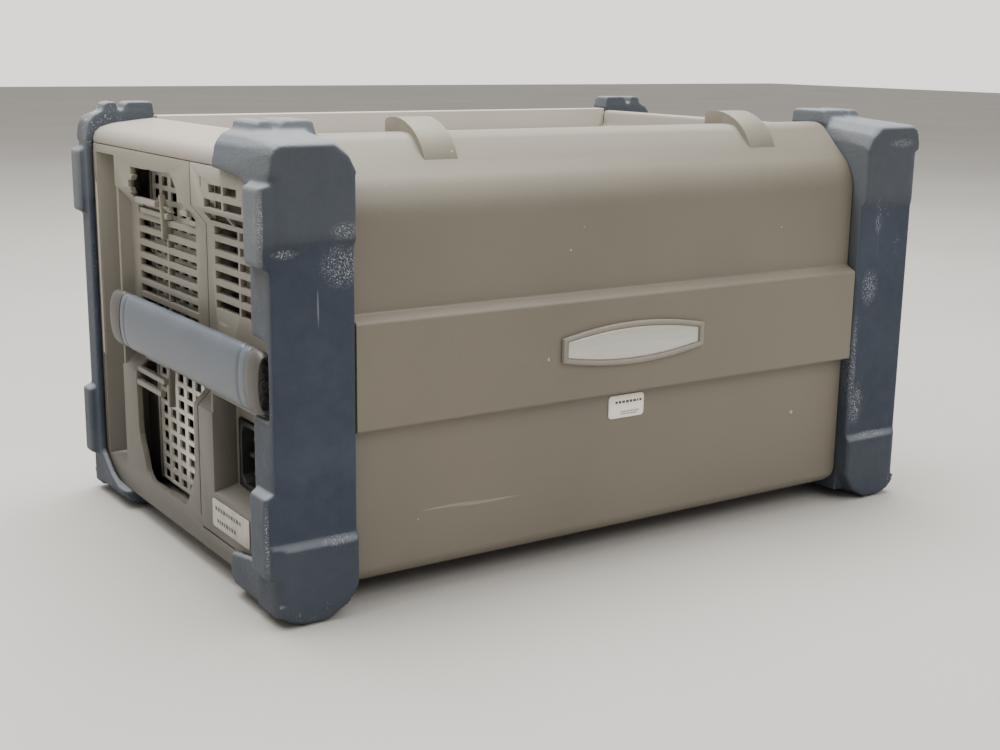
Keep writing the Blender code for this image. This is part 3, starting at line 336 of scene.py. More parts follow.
def brushed_plate():
    """Brushed aluminium name plate under clear lacquer: pale, streaked along its length."""
    mat, tree, shader, point = blank("brushed aluminium plate, lacquered")
    scaled = node(tree, "ShaderNodeMapping", Vector=point, Scale=(30.0, 900.0, 2600.0))
    streaks = node(tree, NOISE, Vector=scaled.outputs["Vector"], Scale=1.0, Detail=3.0,
                   Roughness=0.6).outputs["Fac"]
    connect(tree, shader, Base_Color=node(tree, RAMP, {"stops": [(0.3, "b9b8b2"), (0.7, "cfcec8")]},
                                          Fac=streaks).outputs["Color"],
            Roughness=node(tree, RAMP, {"stops": [(0.3, 0.34), (0.7, 0.46)]}, Fac=streaks).outputs["Color"],
            Metallic=0.55, Coat_Weight=0.25,
            Normal=node(tree, BUMP, Height=streaks, Strength=0.12, Distance=0.00003).outputs["Normal"])
    return mat


def label_film(name, paper, soil):
    """Printed polyester label: white film with a soft sheen, a little soiled."""
    mat, tree, shader, point = blank(name)
    cloud = node(tree, NOISE, Vector=point, Scale=120.0, Detail=4.0, Roughness=0.65).outputs["Fac"]
    connect(tree, shader, Base_Color=node(tree, RAMP, {"stops": [(0.35, soil), (0.6, paper)]},
                                          Fac=cloud).outputs["Color"],
            Roughness=node(tree, RAMP, {"stops": [(0.3, 0.30), (0.7, 0.42)]}, Fac=cloud).outputs["Color"],
            IOR=1.50, Normal=node(tree, BUMP, Height=cloud, Strength=0.10, Distance=0.00004).outputs["Normal"])
    return mat


def circuit_board():
    """Glass-epoxy board under green solder mask, with the weave just showing."""
    mat, tree, shader, point = blank("FR4 board, green solder mask")
    weave = node(tree, "ShaderNodeTexBrick", Vector=point, Scale=260.0, Color1=srgb("16402a"),
                 Color2=srgb("1b4a31"), Mortar=srgb("12361f"))
    connect(tree, shader, Base_Color=weave.outputs["Color"], Roughness=0.35,
            Normal=node(tree, BUMP, Height=weave.outputs["Fac"], Strength=0.1,
                        Distance=0.00003).outputs["Normal"])
    return mat


def display_glass():
    """Tinted acrylic window over the dark display."""
    mat, tree, shader, point = blank("smoked acrylic window")
    dust = node(tree, NOISE, Vector=point, Scale=300.0, Detail=4.0, Roughness=0.7).outputs["Fac"]
    connect(tree, shader, Base_Color=node(tree, RAMP, {"stops": [(0.4, "0d1114"), (0.8, "14191d")]},
                                          Fac=dust).outputs["Color"],
            Roughness=node(tree, RAMP, {"stops": [(0.4, 0.06), (0.75, 0.16)]}, Fac=dust).outputs["Color"],
            IOR=1.49)
    return mat


RUBBER = bumper_rubber()
LID_ABS = moulding("textured ABS, olive grey", "6b665a", "756f62", "928d80")
CASE_ABS = moulding("textured ABS, warm grey", "7f7a71", "8a847b", "a5a096")
# Painted shade: the left panel's copy of the case moulding darkens towards the bottom.
PANEL_ABS = moulding("textured ABS, warm grey, soiled low down", "7f7b70", "8a857a", "a5a096", 0.62)
# Painted light: a paler copy of the case moulding for the rear panel, whose front face is the tray wall,
# standing in for strong light from above.
LIT_REAR_ABS = moulding("textured ABS, pale grey", "a39e94", "afaaa0", "bcb7ad")
VINYL = grip_vinyl()
CAP_ABS = plain_plastic("satin ABS, dark warm grey", "403d3a", "4b4845", 0.46)
SCREEN_STEEL = plated_steel("bright zinc plated sheet", "cfcbc1", "e4e1d8", 0.42, metal=0.45)
CASE_STEEL = plated_steel("passivated zinc plated steel", "8a877f", "a5a29a", 0.42)
ALUMINIUM = plated_steel("brushed aluminium", "a9a9a6", "c2c2be", 0.36, (40.0, 1600.0, 1600.0))
BLACK = plain_plastic("black nylon", "0f0f10", "1a1a1b", 0.42)
DARK = plain_plastic("charcoal ABS", "26262a", "333338", 0.48)
KEYS = plain_plastic("silicone rubber, light grey", "a39f96", "b3afa6", 0.55)
CAP_END = plain_plastic("glass-filled nylon, worn", "1c1c1c", "3b3935", 0.50, 0.8)
NAME_PLATE = brushed_plate()
LABEL = label_film("polyester label, white", "f3eee6", "e2dcd2")
OLD_LABEL = label_film("polyester label, soiled", "a9a59b", "8f8b82")
PRINT = plain_plastic("printed ink, charcoal", "3c3b38", "4a4945", 0.5, 0.0)
BOARD = circuit_board()
GLASS = display_glass()


# --------------------------------------------------------------------------- mesh tools

def settle(item):
    """Apply an object's modifiers into a plain mesh."""
    depsgraph = bpy.context.evaluated_depsgraph_get()
    mesh = bpy.data.meshes.new_from_object(item.evaluated_get(depsgraph))
    old = item.data
    item.modifiers.clear()
    item.data = mesh
    bpy.data.meshes.remove(old)
    return item


def shaded(item, angle=40.0):
    item.data.shade_smooth()
    item.data.set_sharp_from_angle(angle=math.radians(angle))
    return item


def from_bmesh(name, bm, look, scale=MM):
    """Turn a bmesh in millimetres into an object in metres, its faces pointing out."""
    bmesh.ops.remove_doubles(bm, verts=bm.verts, dist=1e-5)
    bmesh.ops.recalc_face_normals(bm, faces=bm.faces)
    if scale != 1.0:
        bmesh.ops.scale(bm, vec=Vector((scale, scale, scale)), verts=bm.verts)
    mesh = bpy.data.meshes.new(name)
    bm.to_mesh(mesh)
    bm.free()
    mesh.materials.append(look)
    item = bpy.data.objects.new(name, mesh)
    bpy.context.scene.collection.objects.link(item)
    return item


def merged_copy(name, source, look):
    """Copy of a CAD node's mesh with its loose triangles welded and flat faces joined up."""
    bm = bmesh.new()
    bm.from_mesh(NODES[source].data)
    bmesh.ops.remove_doubles(bm, verts=bm.verts, dist=2e-6)
    bmesh.ops.dissolve_limit(bm, angle_limit=math.radians(0.4), verts=bm.verts, edges=bm.edges)
    return from_bmesh(name, bm, look, 1.0)


def edged(item, width, segments=3, angle=32.0):
    """Round an object's edges by a width in millimetres."""
    step = item.modifiers.new("edges", "BEVEL")
    step.width = width * MM
    step.segments = segments
    step.limit_method = "ANGLE"
    step.angle_limit = math.radians(angle)
    step.harden_normals = False
    settle(item)
    return shaded(item, 50.0)


def remeshed(item, voxel, rounds):
    """Rebuild a closed shape as an even skin and relax its edges, as rubber comes from a mould."""
    step = item.modifiers.new("skin", "REMESH")
    step.mode = "VOXEL"
    step.voxel_size = voxel * MM
    step.use_smooth_shade = True
    relax = item.modifiers.new("relax", "SMOOTH")
    relax.factor = 0.5
    relax.iterations = rounds
    look = item.data.materials[0]
    settle(item)
    item.data.materials.clear()
    item.data.materials.append(look)
    item.data.shade_smooth()
    return item


def add_wear(item, reach=0.35):
    """Store how proud each point stands of its neighbours, 0 to 1, as the attribute wear."""
    mesh = item.data
    count = len(mesh.vertices)
    points = np.zeros(count * 3)
    mesh.vertices.foreach_get("co", points)
    points = points.reshape(-1, 3)
    normals = np.zeros(count * 3)
    mesh.vertex_normals.foreach_get("vector", normals)
    normals = normals.reshape(-1, 3)
    pairs = np.zeros(len(mesh.edges) * 2, dtype=np.int64)
    mesh.edges.foreach_get("vertices", pairs)
    pairs = pairs.reshape(-1, 2)
    degree = np.bincount(pairs.ravel(), minlength=count).clip(1)

    def neighbours(values):
        total = np.zeros_like(values)
        np.add.at(total, pairs[:, 0], values[pairs[:, 1]])
        np.add.at(total, pairs[:, 1], values[pairs[:, 0]])
        return total / (degree[:, None] if values.ndim == 2 else degree)

    proud = -((neighbours(points) - points) * normals).sum(axis=1) / MM
    for _ in range(3):
        proud = 0.5 * proud + 0.5 * neighbours(proud)
    wear = np.clip(proud / reach * 4.0, 0.0, 1.0)
    for _ in range(2):
        wear = 0.5 * wear + 0.5 * neighbours(wear)
    attribute = mesh.attributes.get("wear") or mesh.attributes.new("wear", "FLOAT", "POINT")
    attribute.data.foreach_set("value", wear.astype(np.float32))


def place(item, body, slot, *nodes):
    """Attach a finished piece to its body and hide the CAD nodes it stands for; slot is not used."""
    if nodes:
        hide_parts(*nodes)
    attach(item, body)


def loft(bm, rings, closed_ends=True):
    """Join rings of points into one skin."""
    made = [[bm.verts.new(point) for point in ring] for ring in rings]
    count = len(made[0])
    for low, high in zip(made, made[1:]):
        for i in range(count):
            j = (i + 1) % count
            bm.faces.new((low[i], low[j], high[j], high[i]))
    if closed_ends:
        bm.faces.new(made[0])
        bm.faces.new(list(reversed(made[-1])))


def block(bm, x, y, z):
    """Add a closed box given its low and high corner on each axis."""
    size = Vector((x[1] - x[0], y[1] - y[0], z[1] - z[0]))
    middle = Vector(((x[0] + x[1]) / 2, (y[0] + y[1]) / 2, (z[0] + z[1]) / 2))
    bmesh.ops.create_cube(bm, size=1.0, matrix=Matrix.Translation(middle) @ Matrix.Diagonal((*size, 1.0)))


def carve(item, bm, operation="DIFFERENCE"):
    """Boolean of a bmesh in millimetres with a finished object."""
    tool = from_bmesh(item.name + "_tool", bm, item.data.materials[0])
    step = item.modifiers.new("carve", "BOOLEAN")
    step.operation = operation
    step.solver = "EXACT"
    step.object = tool
    settle(item)
    bpy.data.objects.remove(tool, do_unlink=True)
    return item


def filleted(corners, step_angle=9.0):
    """Outline from (a, b, radius) corners, each turned into an arc."""
    points = []
    count = len(corners)
    for i in range(count):
        here = Vector(corners[i][:2])
        before = (Vector(corners[i - 1][:2]) - here)
        after = (Vector(corners[(i + 1) % count][:2]) - here)
        radius = corners[i][2]
        turn = math.pi - before.angle(after)
        if radius <= 0.0 or turn < 0.02:
            points.append(tuple(here))
            continue
        reach = min(radius * math.tan(turn / 2), before.length * 0.49, after.length * 0.49)
        radius = reach / math.tan(turn / 2)
        start = here + before.normalized() * reach
        end = here + after.normalized() * reach
        middle = here + (before.normalized() + after.normalized()).normalized() * (
            math.hypot(reach, radius))
        steps = max(2, math.ceil(math.degrees(turn) / step_angle))
        first = start - middle
        angle = first.angle_signed(end - middle)
        for k in range(steps + 1):
            turned = Matrix.Rotation(-angle * k / steps, 2) @ first
            points.append(tuple(middle + turned))
    return points


def circle(centre, radius, count=32, second=None):
    other = radius if second is None else second
    return [(centre[0] + radius * math.cos(2 * math.pi * i / count),
             centre[1] + other * math.sin(2 * math.pi * i / count)) for i in range(count)]


def on_x(outline, x):
    return [(x, a, b) for a, b in outline]


def on_y(outline, y):
    return [(a, y, b) for a, b in outline]


# --------------------------------------------------------------------------- repeated pieces

def instance_tree(name):
    """Node tree that sets one shape on every point of the given mesh, scaled by the point's size attribute."""
    tree = bpy.data.node_groups.new(name, "GeometryNodeTree")
    face = tree.interface
    face.new_socket("Points", in_out="INPUT", socket_type="NodeSocketGeometry")
    face.new_socket("Shape", in_out="INPUT", socket_type="NodeSocketObject")
    face.new_socket("Look", in_out="INPUT", socket_type="NodeSocketMaterial")
    face.new_socket("Geometry", in_out="OUTPUT", socket_type="NodeSocketGeometry")
    start = tree.nodes.new("NodeGroupInput")
    shape = node(tree, "GeometryNodeObjectInfo", Object=start.outputs["Shape"])
    size = node(tree, "GeometryNodeInputNamedAttribute", {"data_type": "FLOAT_VECTOR"}, Name="size")
    spread = node(tree, "GeometryNodeInstanceOnPoints", Points=start.outputs["Points"],
                  Instance=shape.outputs["Geometry"], Scale=size.outputs["Attribute"])
    real = node(tree, "GeometryNodeRealizeInstances", Geometry=spread.outputs["Instances"])
    painted = node(tree, "GeometryNodeSetMaterial", Geometry=real.outputs["Geometry"],
                   Material=start.outputs["Look"])
    end = tree.nodes.new("NodeGroupOutput")
    tree.links.new(painted.outputs["Geometry"], end.inputs["Geometry"])
    return tree


def perforated_tree(name):
    """Node tree for a sheet with square holes: a grid whose faces are inset and opened."""
    tree = bpy.data.node_groups.new(name, "GeometryNodeTree")
    face = tree.interface
    for label, kind in (("Width", "Float"), ("Height", "Float"), ("Pitch", "Float"), ("Hole", "Float"),
                        ("Thickness", "Float"), ("Look", "Material")):
        face.new_socket(label, in_out="INPUT", socket_type="NodeSocket" + kind)
    face.new_socket("Geometry", in_out="OUTPUT", socket_type="NodeSocketGeometry")
    start = tree.nodes.new("NodeGroupInput")
    given = start.outputs
    counts = []
    for label in ("Width", "Height"):
        share = node(tree, "ShaderNodeMath", {"operation": "DIVIDE"}, i0=given[label], i1=given["Pitch"])
        whole = node(tree, "ShaderNodeMath", {"operation": "FLOOR"}, i0=share.outputs[0])
        extra = node(tree, "ShaderNodeMath", {"operation": "ADD"}, i0=whole.outputs[0], i1=1.0)
        counts.append(extra.outputs[0])
    grid = node(tree, "GeometryNodeMeshGrid", Size_X=given["Width"], Size_Y=given["Height"],
                Vertices_X=counts[0], Vertices_Y=counts[1])
    holes = node(tree, "GeometryNodeExtrudeMesh", {"mode": "FACES"}, Mesh=grid.outputs["Mesh"],
                 Offset_Scale=0.0, Individual=True)
    share = node(tree, "ShaderNodeMath", {"operation": "DIVIDE"}, i0=given["Hole"], i1=given["Pitch"])
    inset = node(tree, "GeometryNodeScaleElements", Geometry=holes.outputs["Mesh"],
                 Selection=holes.outputs["Top"], Scale=share.outputs[0])
    opened = node(tree, "GeometryNodeDeleteGeometry", {"domain": "FACE"}, Geometry=inset.outputs["Geometry"],
                  Selection=holes.outputs["Top"])
    painted = node(tree, "GeometryNodeSetMaterial", Geometry=opened.outputs["Geometry"],
                   Material=given["Look"])
    end = tree.nodes.new("NodeGroupOutput")
    tree.links.new(painted.outputs["Geometry"], end.inputs["Geometry"])
    return tree


def run_tree(item, tree, **values):
    """Put a geometry tree on an object, set its inputs by identifier and keep the result as a mesh."""
    step = item.modifiers.new("nodes", "NODES")
    step.node_group = tree
    for socket in tree.interface.items_tree:
        if socket.in_out == "INPUT" and socket.name in values:
            step[socket.identifier] = values[socket.name]
    return settle(item)


INSTANCES = instance_tree("shapes on points")
PERFORATED = perforated_tree("perforated sheet")


def spread_shape(name, shape, points, look):
    """Set a shape on points given as (x, y, z, size x, size y, size z), in millimetres and shares."""
    mesh = bpy.data.meshes.new(name)
    mesh.from_pydata([Vector(p[:3]) * MM for p in points], [], [])
    sizes = mesh.attributes.new("size", "FLOAT_VECTOR", "POINT")
    sizes.data.foreach_set("vector", [value for p in points for value in p[3:]])
    item = bpy.data.objects.new(name, mesh)
    bpy.context.scene.collection.objects.link(item)
    run_tree(item, INSTANCES, Shape=shape, Look=look)
    bpy.data.objects.remove(shape, do_unlink=True)
    return item


# --------------------------------------------------------------------------- bumpers

# The rubber is rebuilt as a skin of this fineness in millimetres, then relaxed this many times.
SKIN_VOXEL = 0.88
RELAX_ROUNDS = 2
# Distances from the middle plane between which the rear side flange is trimmed.
FLANGE_NEAR = 162.4
FLANGE_FAR = 172.0
REAR_FLANGE_CUT = [(FRONT + y, z) for y, z in (
    (197.7, 27.0), (197.7, 21.0), (187.0, 13.0), (177.0, 9.3), (148.0, 9.3), (148.0, 27.0))]


def corner_bumpers():
    """Four rubber bumpers with soft edges."""
    for name in ("bumper_front_left", "bumper_front_right", "bumper_rear_left", "bumper_rear_right"):
        item = merged_copy("rubber_" + name, name, RUBBER)
        if "rear" in name:
            side = 1 if "right" in name else -1
            tool = bmesh.new()
            loft(tool, [on_x(REAR_FLANGE_CUT, side * x) for x in (FLANGE_NEAR, FLANGE_FAR)])
            carve(item, tool)
        remeshed(item, SKIN_VOXEL, RELAX_ROUNDS)
        add_wear(item, 0.60)
        place(item, "case", "bumper rubber", name)


# --------------------------------------------------------------------------- lid

HOOK_PLACES = (-84.5, 84.5)
HOOK_HALF_WIDTH = 7.5
LID_WALL = 3.5
LID_BOTTOM = 8.6
LID_CORNER = 8.0


def lid_outline():
    """Outer section of the lid as filleted corners (y, z)."""
    face = LID_FACE
    band = BAND_FACE
    slope_top = (FRONT + 30.7, 179.5)
    slope_low = (face, 158.2)
    return filleted([
        (FRONT + 33.5, 11.0, 0.4), (FRONT + 31.1, LID_BOTTOM, 0.8), (face, LID_BOTTOM, 5.5), (face, 69.9, 0.5),
        (band, 70.5, 1.3), (band, 112.2, 1.6), (face, 114.7, 1.2), (*slope_low, 21.0), (*slope_top, 10.5),
        (FRONT + 40.0, 179.5, 0.8), (FRONT + 40.0, 177.1, 0.6), (FRONT + 33.5, 177.1, 0.5)])


def lid_inside():
    face = LID_FACE + 2.5
    return filleted([
        (FRONT + 45.0, 11.1, 0.0), (face, 11.1, 3.0), (face, 157.2, 18.5), (FRONT + 31.6, 176.6, 8.0),
        (FRONT + 45.0, 176.6, 0.0)])


def hook_outline():
    """One top hook (y, z), from its root in the slope to its tip."""
    return [(FRONT + y, z) for y, z in (
        (19.0, 165.0), (20.4, 170.2), (22.0, 173.4), (24.3, 176.6), (27.5, 179.6), (31.0, 181.8), (35.0, 183.5),
        (39.1, 184.6), (42.5, 184.95), (46.5, 184.8), (50.0, 184.1), (51.3, 183.0), (51.4, 178.2),
        (46.0, 178.9),
        (41.0, 178.6), (37.0, 177.6), (28.0, 174.5))]


def front_lid():
    """Lid with its raised band, rounded shoulder and two hooks."""
    bm = bmesh.new()
    outline = lid_outline()
    loft(bm, [on_x(outline, LID_LOW_X), on_x(outline, LID_HIGH_X)])
    item = from_bmesh("lid_shell", bm, LID_ABS)
    inside = lid_inside()
    tool = bmesh.new()
    loft(tool, [on_x(inside, LID_LOW_X + LID_WALL), on_x(inside, LID_HIGH_X - LID_WALL)])
    carve(item, tool)
    hook = hook_outline()
    for centre in HOOK_PLACES:
        tool = bmesh.new()
        loft(tool, [on_x(hook, centre - HOOK_HALF_WIDTH), on_x(hook, centre + HOOK_HALF_WIDTH)])
        carve(item, tool, "UNION")
    radius = LID_CORNER
    low = LID_BOTTOM
    for side in (-1, 1):
        tool = bmesh.new()
        end = LID_HIGH_X if side > 0 else LID_LOW_X
        arc = [(end - side * radius * (1.0 - math.sin(math.radians(t))),
                low + radius * (1.0 - math.cos(math.radians(t)))) for t in range(0, 91, 9)]
        outline = arc + [(end + side * 2.0, low + radius), (end + side * 2.0, low - 3.0),
                         (end - side * radius, low - 3.0)]
        loft(tool, [on_y(outline, FRONT - 5.0), on_y(outline, FRONT + 40.0)])
        carve(item, tool)
    edged(item, 0.6, 3, 28.0)
    place(item, "lid", "lid moulding", "front_cover")


def plate_outline(half_width, end_height, bow, count=18):
    """Name plate outline: bowed top and bottom edges between short upright ends with round corners."""
    centre = (corner("nameplate", 0, 2) + corner("nameplate", 1, 2)) / 2
    points = []
    for sign in (1, -1):
        for i in range(count + 1):
            u = sign * (1.0 - 2.0 * i / count)
            points.append((u * half_width, centre + sign * (end_height / 2 + bow * (1.0 - u * u))))
    return points


def name_plate():
    """Raised rim with a bowed plate inside it."""
    face = BAND_FACE
    bm = bmesh.new()
    rings = []
    for inset, lift in ((0.0, 0.25), (0.0, 1.2), (0.25, 1.75), (0.9, 2.0), (1.6, 1.9), (2.1, 1.5), (2.5, 0.7),
                        (2.5, 0.25)):
        outline = plate_outline(37.6 - inset, 10.0 - 1.5 * inset, 4.0 - 0.25 * inset)
        rings.append([(x, face - lift, z) for x, z in outline])
    loft(bm, rings, False)
    count = len(rings[0])
    made = list(bm.verts)
    first = made[:count]
    last = made[-count:]
    for i in range(count):
        j = (i + 1) % count
        bm.faces.new((first[j], first[i], last[i], last[j]))
    rim = shaded(from_bmesh("name_plate_rim", bm, CASE_ABS), 40.0)
    place(rim, "lid", "case moulding", "nameplate_rim")
    bm = bmesh.new()
    rings = []
    for inset, lift in ((0.0, 0.3), (0.0, 0.95), (0.25, 1.15), (0.8, 1.25)):
        outline = plate_outline(34.8 - inset, 6.4 - 1.5 * inset, 3.3 - 0.2 * inset)
        rings.append([(x, face - lift, z) for x, z in outline])
    loft(bm, rings)
    plate = shaded(from_bmesh("name_plate_sheet", bm, NAME_PLATE), 40.0)
    place(plate, "lid", "name plate", "nameplate")


def flat_label(name, source, axis, look, radius=1.6):
    """Thin printed film with round corners; axis is the direction it faces."""
    low = [corner(source, 0, i) for i in range(3)]
    high = [corner(source, 1, i) for i in range(3)]
    a, b = (1, 2) if axis == 0 else (0, 2)
    outline = filleted([(low[a], low[b], radius), (high[a], low[b], radius), (high[a], high[b], radius),
                        (low[a], high[b], radius)])
    lift = on_x if axis == 0 else on_y
    bm = bmesh.new()
    loft(bm, [lift(outline, low[axis]), lift(outline, high[axis])])
    item = edged(from_bmesh(name, bm, look), 0.08, 2)
    return item, low, high


def printed_rows(name, body, slot, rows, axis, surface, seed):
    """Rows of short printed dashes standing a hair above a label: (start, end, height, size) each."""
    rng = random.Random(seed)
    bm = bmesh.new()
    thick = 0.03
    block(bm, (-0.5, 0.5), (-0.5, 0.5), (-0.5, 0.5))
    dash = from_bmesh(name + "_dash", bm, PRINT)
    points = []
    for start, end, height, size in rows:
        at = start
        while at < end:
            width = rng.uniform(0.7, 1.5) * size
            if axis == 0:
                points.append((surface, at + width / 2, height, thick, width, size))
            else:
                points.append((at + width / 2, surface, height, width, thick, size))
            at += width + 0.45 * size
    item = spread_shape(name, dash, points, PRINT)
    place(item, body, slot)


def labels():
    item, low, high = flat_label("lid_label", "serial_label", 1, LABEL)
    place(item, "lid", "label film", "serial_label")
    printed_rows("lid_label_print", "lid", "label film",
                 [(low[0] + 3.5, high[0] - 2.0, high[2] - 3.1, 1.1),
                  (low[0] + 6.5, high[0] - 2.5, low[2] + 2.6, 0.5),
                  (low[0] + 6.5, high[0] - 3.5, low[2] + 1.6, 0.5)], 1, low[1], 5)
    item, low, high = flat_label("rating_label_film", "rating_label", 0, OLD_LABEL, 1.2)
    place(item, "case", "label film", "rating_label")
    printed_rows("rating_label_print", "case", "label film",
                 [(low[1] + 8.0, high[1] - 3.0, high[2] - 3.6, 1.7),
                  (low[1] + 13.0, high[1] - 6.0, low[2] + 3.2, 1.7)],
                 0, low[0], 8)


# --------------------------------------------------------------------------- left side

def jagged(points, depth, seed):
    """Break the edges of an outline into small uneven teeth."""
    rng = random.Random(seed)
    made = []
    count = len(points)
    for i in range(count):
        start = Vector(points[i])
        end = Vector(points[(i + 1) % count])
        length = (end - start).length
        across = Vector((-(end - start).y, (end - start).x)).normalized()
        steps = max(1, int(length / 2.2))
        for k in range(steps):
            made.append(tuple(start.lerp(end, k / steps) + across * rng.uniform(-depth, depth)))
    return made


UPPER_BREAK = ((152.2, 142.0), (152.2, 147.0), (149.0, 154.5), (144.0, 159.6), (123.0, 160.2), (102.6, 160.4),
               (97.5, 155.5), (93.3, 149.0), (93.0, 141.6), (104.0, 141.4), (118.0, 139.4), (121.5, 144.0),
               (136.0, 146.8))
LOWER_BREAK = ((153.4, 77.0), (153.4, 45.0), (151.2, 37.0), (144.9, 24.5), (140.6, 20.8), (98.6, 20.8),
               (93.4, 27.0), (88.2, 36.0), (86.9, 40.0), (86.3, 57.0), (85.9, 77.0))


def side_panel():
    """Left panel with its slots, the two broken-out openings, channel details and stubs of louvre."""
    item = merged_copy("left_panel", "left_side_panel", PANEL_ABS)
    for outline, seed in ((UPPER_BREAK, 3), (LOWER_BREAK, 4)):
        tool = bmesh.new()
        edge = [(FRONT + y, z) for y, z in jagged(outline, 0.35, seed)]
        loft(tool, [on_x(edge, PANEL_X - 4.0), on_x(edge, -151.6)])
        carve(item, tool)
    tool = bmesh.new()
    block(tool, (PANEL_X - 4.0, PANEL_X + 1.2), (FRONT + 47.0, FRONT + 80.0), (16.6, 17.5))
    block(tool, (PANEL_X - 4.0, PANEL_X + 1.2), (FRONT + 70.4, FRONT + 71.3), (158.2, 162.0))
    carve(item, tool)
    edged(item, 0.35, 2, 40.0)
    place(item, "case", "case moulding", "left_side_panel")
    louvre_stubs()
    channel_fittings()


def louvre_stubs():
    """Broken ends of the missing louvres: a rounded bar set on points, each with its own length."""
    bm = bmesh.new()
    section = filleted([(-1.2, -1.25, 0.5), (1.2, -1.25, 0.5), (1.2, 1.25, 0.5), (-1.2, 1.25, 0.5)])
    loft(bm, [[(a, -0.5, b) for a, b in section], [(a, 0.5, b) for a, b in section]])
    bar = from_bmesh("louvre_bar", bm, PANEL_ABS)
    points = []
    for z, start, end, x in ((140.6, 153.0, 121.0, -156.6), (145.4, 152.0, 128.0, -159.2),
                             (75.2, 153.4, 119.0, -156.9), (69.6, 153.4, 121.4, -160.6),
                             (63.8, 153.4, 124.0, -161.3),
                             (150.6, 96.4, 92.6, -161.2), (145.0, 99.0, 92.2, -159.2)):
        points.append((x, FRONT + (start + end) / 2, z, 1.0, start - end, 1.0))
    stubs = spread_shape("louvre_stubs", bar, points, PANEL_ABS)
    shaded(stubs)
    add_wear(stubs, 0.5)
    place(stubs, "case", "case moulding")
    bm = bmesh.new()
    for y, low, high, x, lean in ((124.6, 131.0, 149.5, -157.6, 2.0), (121.2, 58.5, 77.0, -158.6, -1.5)):
        rings = []
        for k in range(7):
            share = k / 6
            z = low + (high - low) * share
            half = 0.9 - 0.3 * share
            middle = FRONT + y + lean * share * share
            rings.append([(x - 1.4, middle - half, z), (x + 1.4, middle - half, z), (x + 1.4, middle + half, z),
                          (x - 1.4, middle + half, z)])
        loft(bm, rings)
    divider = edged(from_bmesh("broken_dividers", bm, PANEL_ABS), 0.25, 2)
    place(divider, "case", "case moulding")


CHANNEL_FLOOR = -152.6
BOSS_HEIGHTS = (106.0, 116.5)


def channel_fittings():
    """Rib, two screw bosses and a slide slot in the channel, and the baffle beside the fan guard."""
    bm = bmesh.new()
    block(bm, (-152.2, -151.0), (FRONT + 155.3, FRONT + 168.0), (17.0, 163.0))
    baffle = edged(from_bmesh("baffle", bm, CASE_STEEL), 0.2, 2)
    place(baffle, "case", "zinc plated steel")
    bm = bmesh.new()
    for z in BOSS_HEIGHTS:
        rings = []
        for radius, x in ((2.6, CHANNEL_FLOOR), (2.6, -156.4), (2.2, -156.9), (1.0, -157.0)):
            rings.append(on_x(circle((FRONT + 177.5, z), radius, 20), x))
        loft(bm, rings)
    bosses = shaded(from_bmesh("channel_bosses", bm, CASE_STEEL))
    place(bosses, "case", "zinc plated steel")
    bm = bmesh.new()
    block(bm, (-159.6, CHANNEL_FLOOR), (FRONT + 172.0, FRONT + 174.2), (21.5, 162.5))
    block(bm, (-154.6, CHANNEL_FLOOR), (FRONT + 174.0, FRONT + 181.0), (118.5, 141.0))
    rib = from_bmesh("channel_rib", bm, PANEL_ABS)
    edged(rib, 0.4, 2)
    place(rib, "case", "case moulding")
    bm = bmesh.new()
    rings = []
    for grow, x in ((0.0, -154.5), (0.0, -155.2), (0.4, -155.4), (1.0, -155.4), (1.3, -155.1), (1.3, -154.5)):
        rings.append(on_x(circle((FRONT + 177.6, 131.0), 1.4 + grow, 28, 4.4 + grow), x))
    loft(bm, rings, False)
    slot_rim = shaded(from_bmesh("channel_slot_rim", bm, DARK))
    place(slot_rim, "case", "dark moulding")


HOLE_PITCH = 5.9
HOLE_HEIGHT = 3.8
# Pitch and holes are this much wider than they are high.
HOLE_STRETCH = 1.55


def fan_guard():
    """Zinc plated sheet behind the slots, its holes wider than they are high."""
    width = SCREEN_HIGH[1] - SCREEN_LOW[1]
    height = SCREEN_HIGH[2] - SCREEN_LOW[2]
    item = bpy.data.objects.new("perforated_guard", bpy.data.meshes.new("perforated_guard"))
    bpy.context.scene.collection.objects.link(item)
    run_tree(item, PERFORATED, Width=width * MM / HOLE_STRETCH, Height=height * MM, Pitch=HOLE_PITCH * MM,
             Hole=HOLE_HEIGHT * MM,
             Look=SCREEN_STEEL)
    middle_y = (SCREEN_HIGH[1] + SCREEN_LOW[1]) / 2
    middle_z = (SCREEN_HIGH[2] + SCREEN_LOW[2]) / 2
    turn = Matrix(((0, 0, 1, 0), (HOLE_STRETCH, 0, 0, 0), (0, 1, 0, 0), (0, 0, 0, 1)))
    item.data.transform(Matrix.Translation(Vector((SCREEN_LOW[0], middle_y, middle_z)) * MM) @ turn)
    bm = bmesh.new()
    bm.from_mesh(item.data)
    bmesh.ops.remove_doubles(bm, verts=bm.verts, dist=1e-6)
    bm.normal_update()
    if sum(face.normal.x for face in bm.faces) > 0:
        bmesh.ops.reverse_faces(bm, faces=bm.faces)
    bm.to_mesh(item.data)
    bm.free()
    step = item.modifiers.new("sheet", "SOLIDIFY")
    step.thickness = (SCREEN_HIGH[0] - SCREEN_LOW[0]) * MM
    step.offset = -1.0
    settle(item)
    place(item, "case", "zinc plated steel", "fan_screen")


# --------------------------------------------------------------------------- handle

def oval(centre, half_x, half_z, count=48):
    """Flattened round section."""
    points = []
    for i in range(count):
        angle = 2 * math.pi * i / count
        c, s = math.cos(angle), math.sin(angle)
        points.append((centre[0] + half_x * math.copysign(abs(c) ** 0.8, c),
                       centre[1] + half_z * math.copysign(abs(s) ** 0.9, s)))
    return points


# Depth of the hollow in an end cap, as a share of the cap's length.
CAP_HOLLOW = 0.80


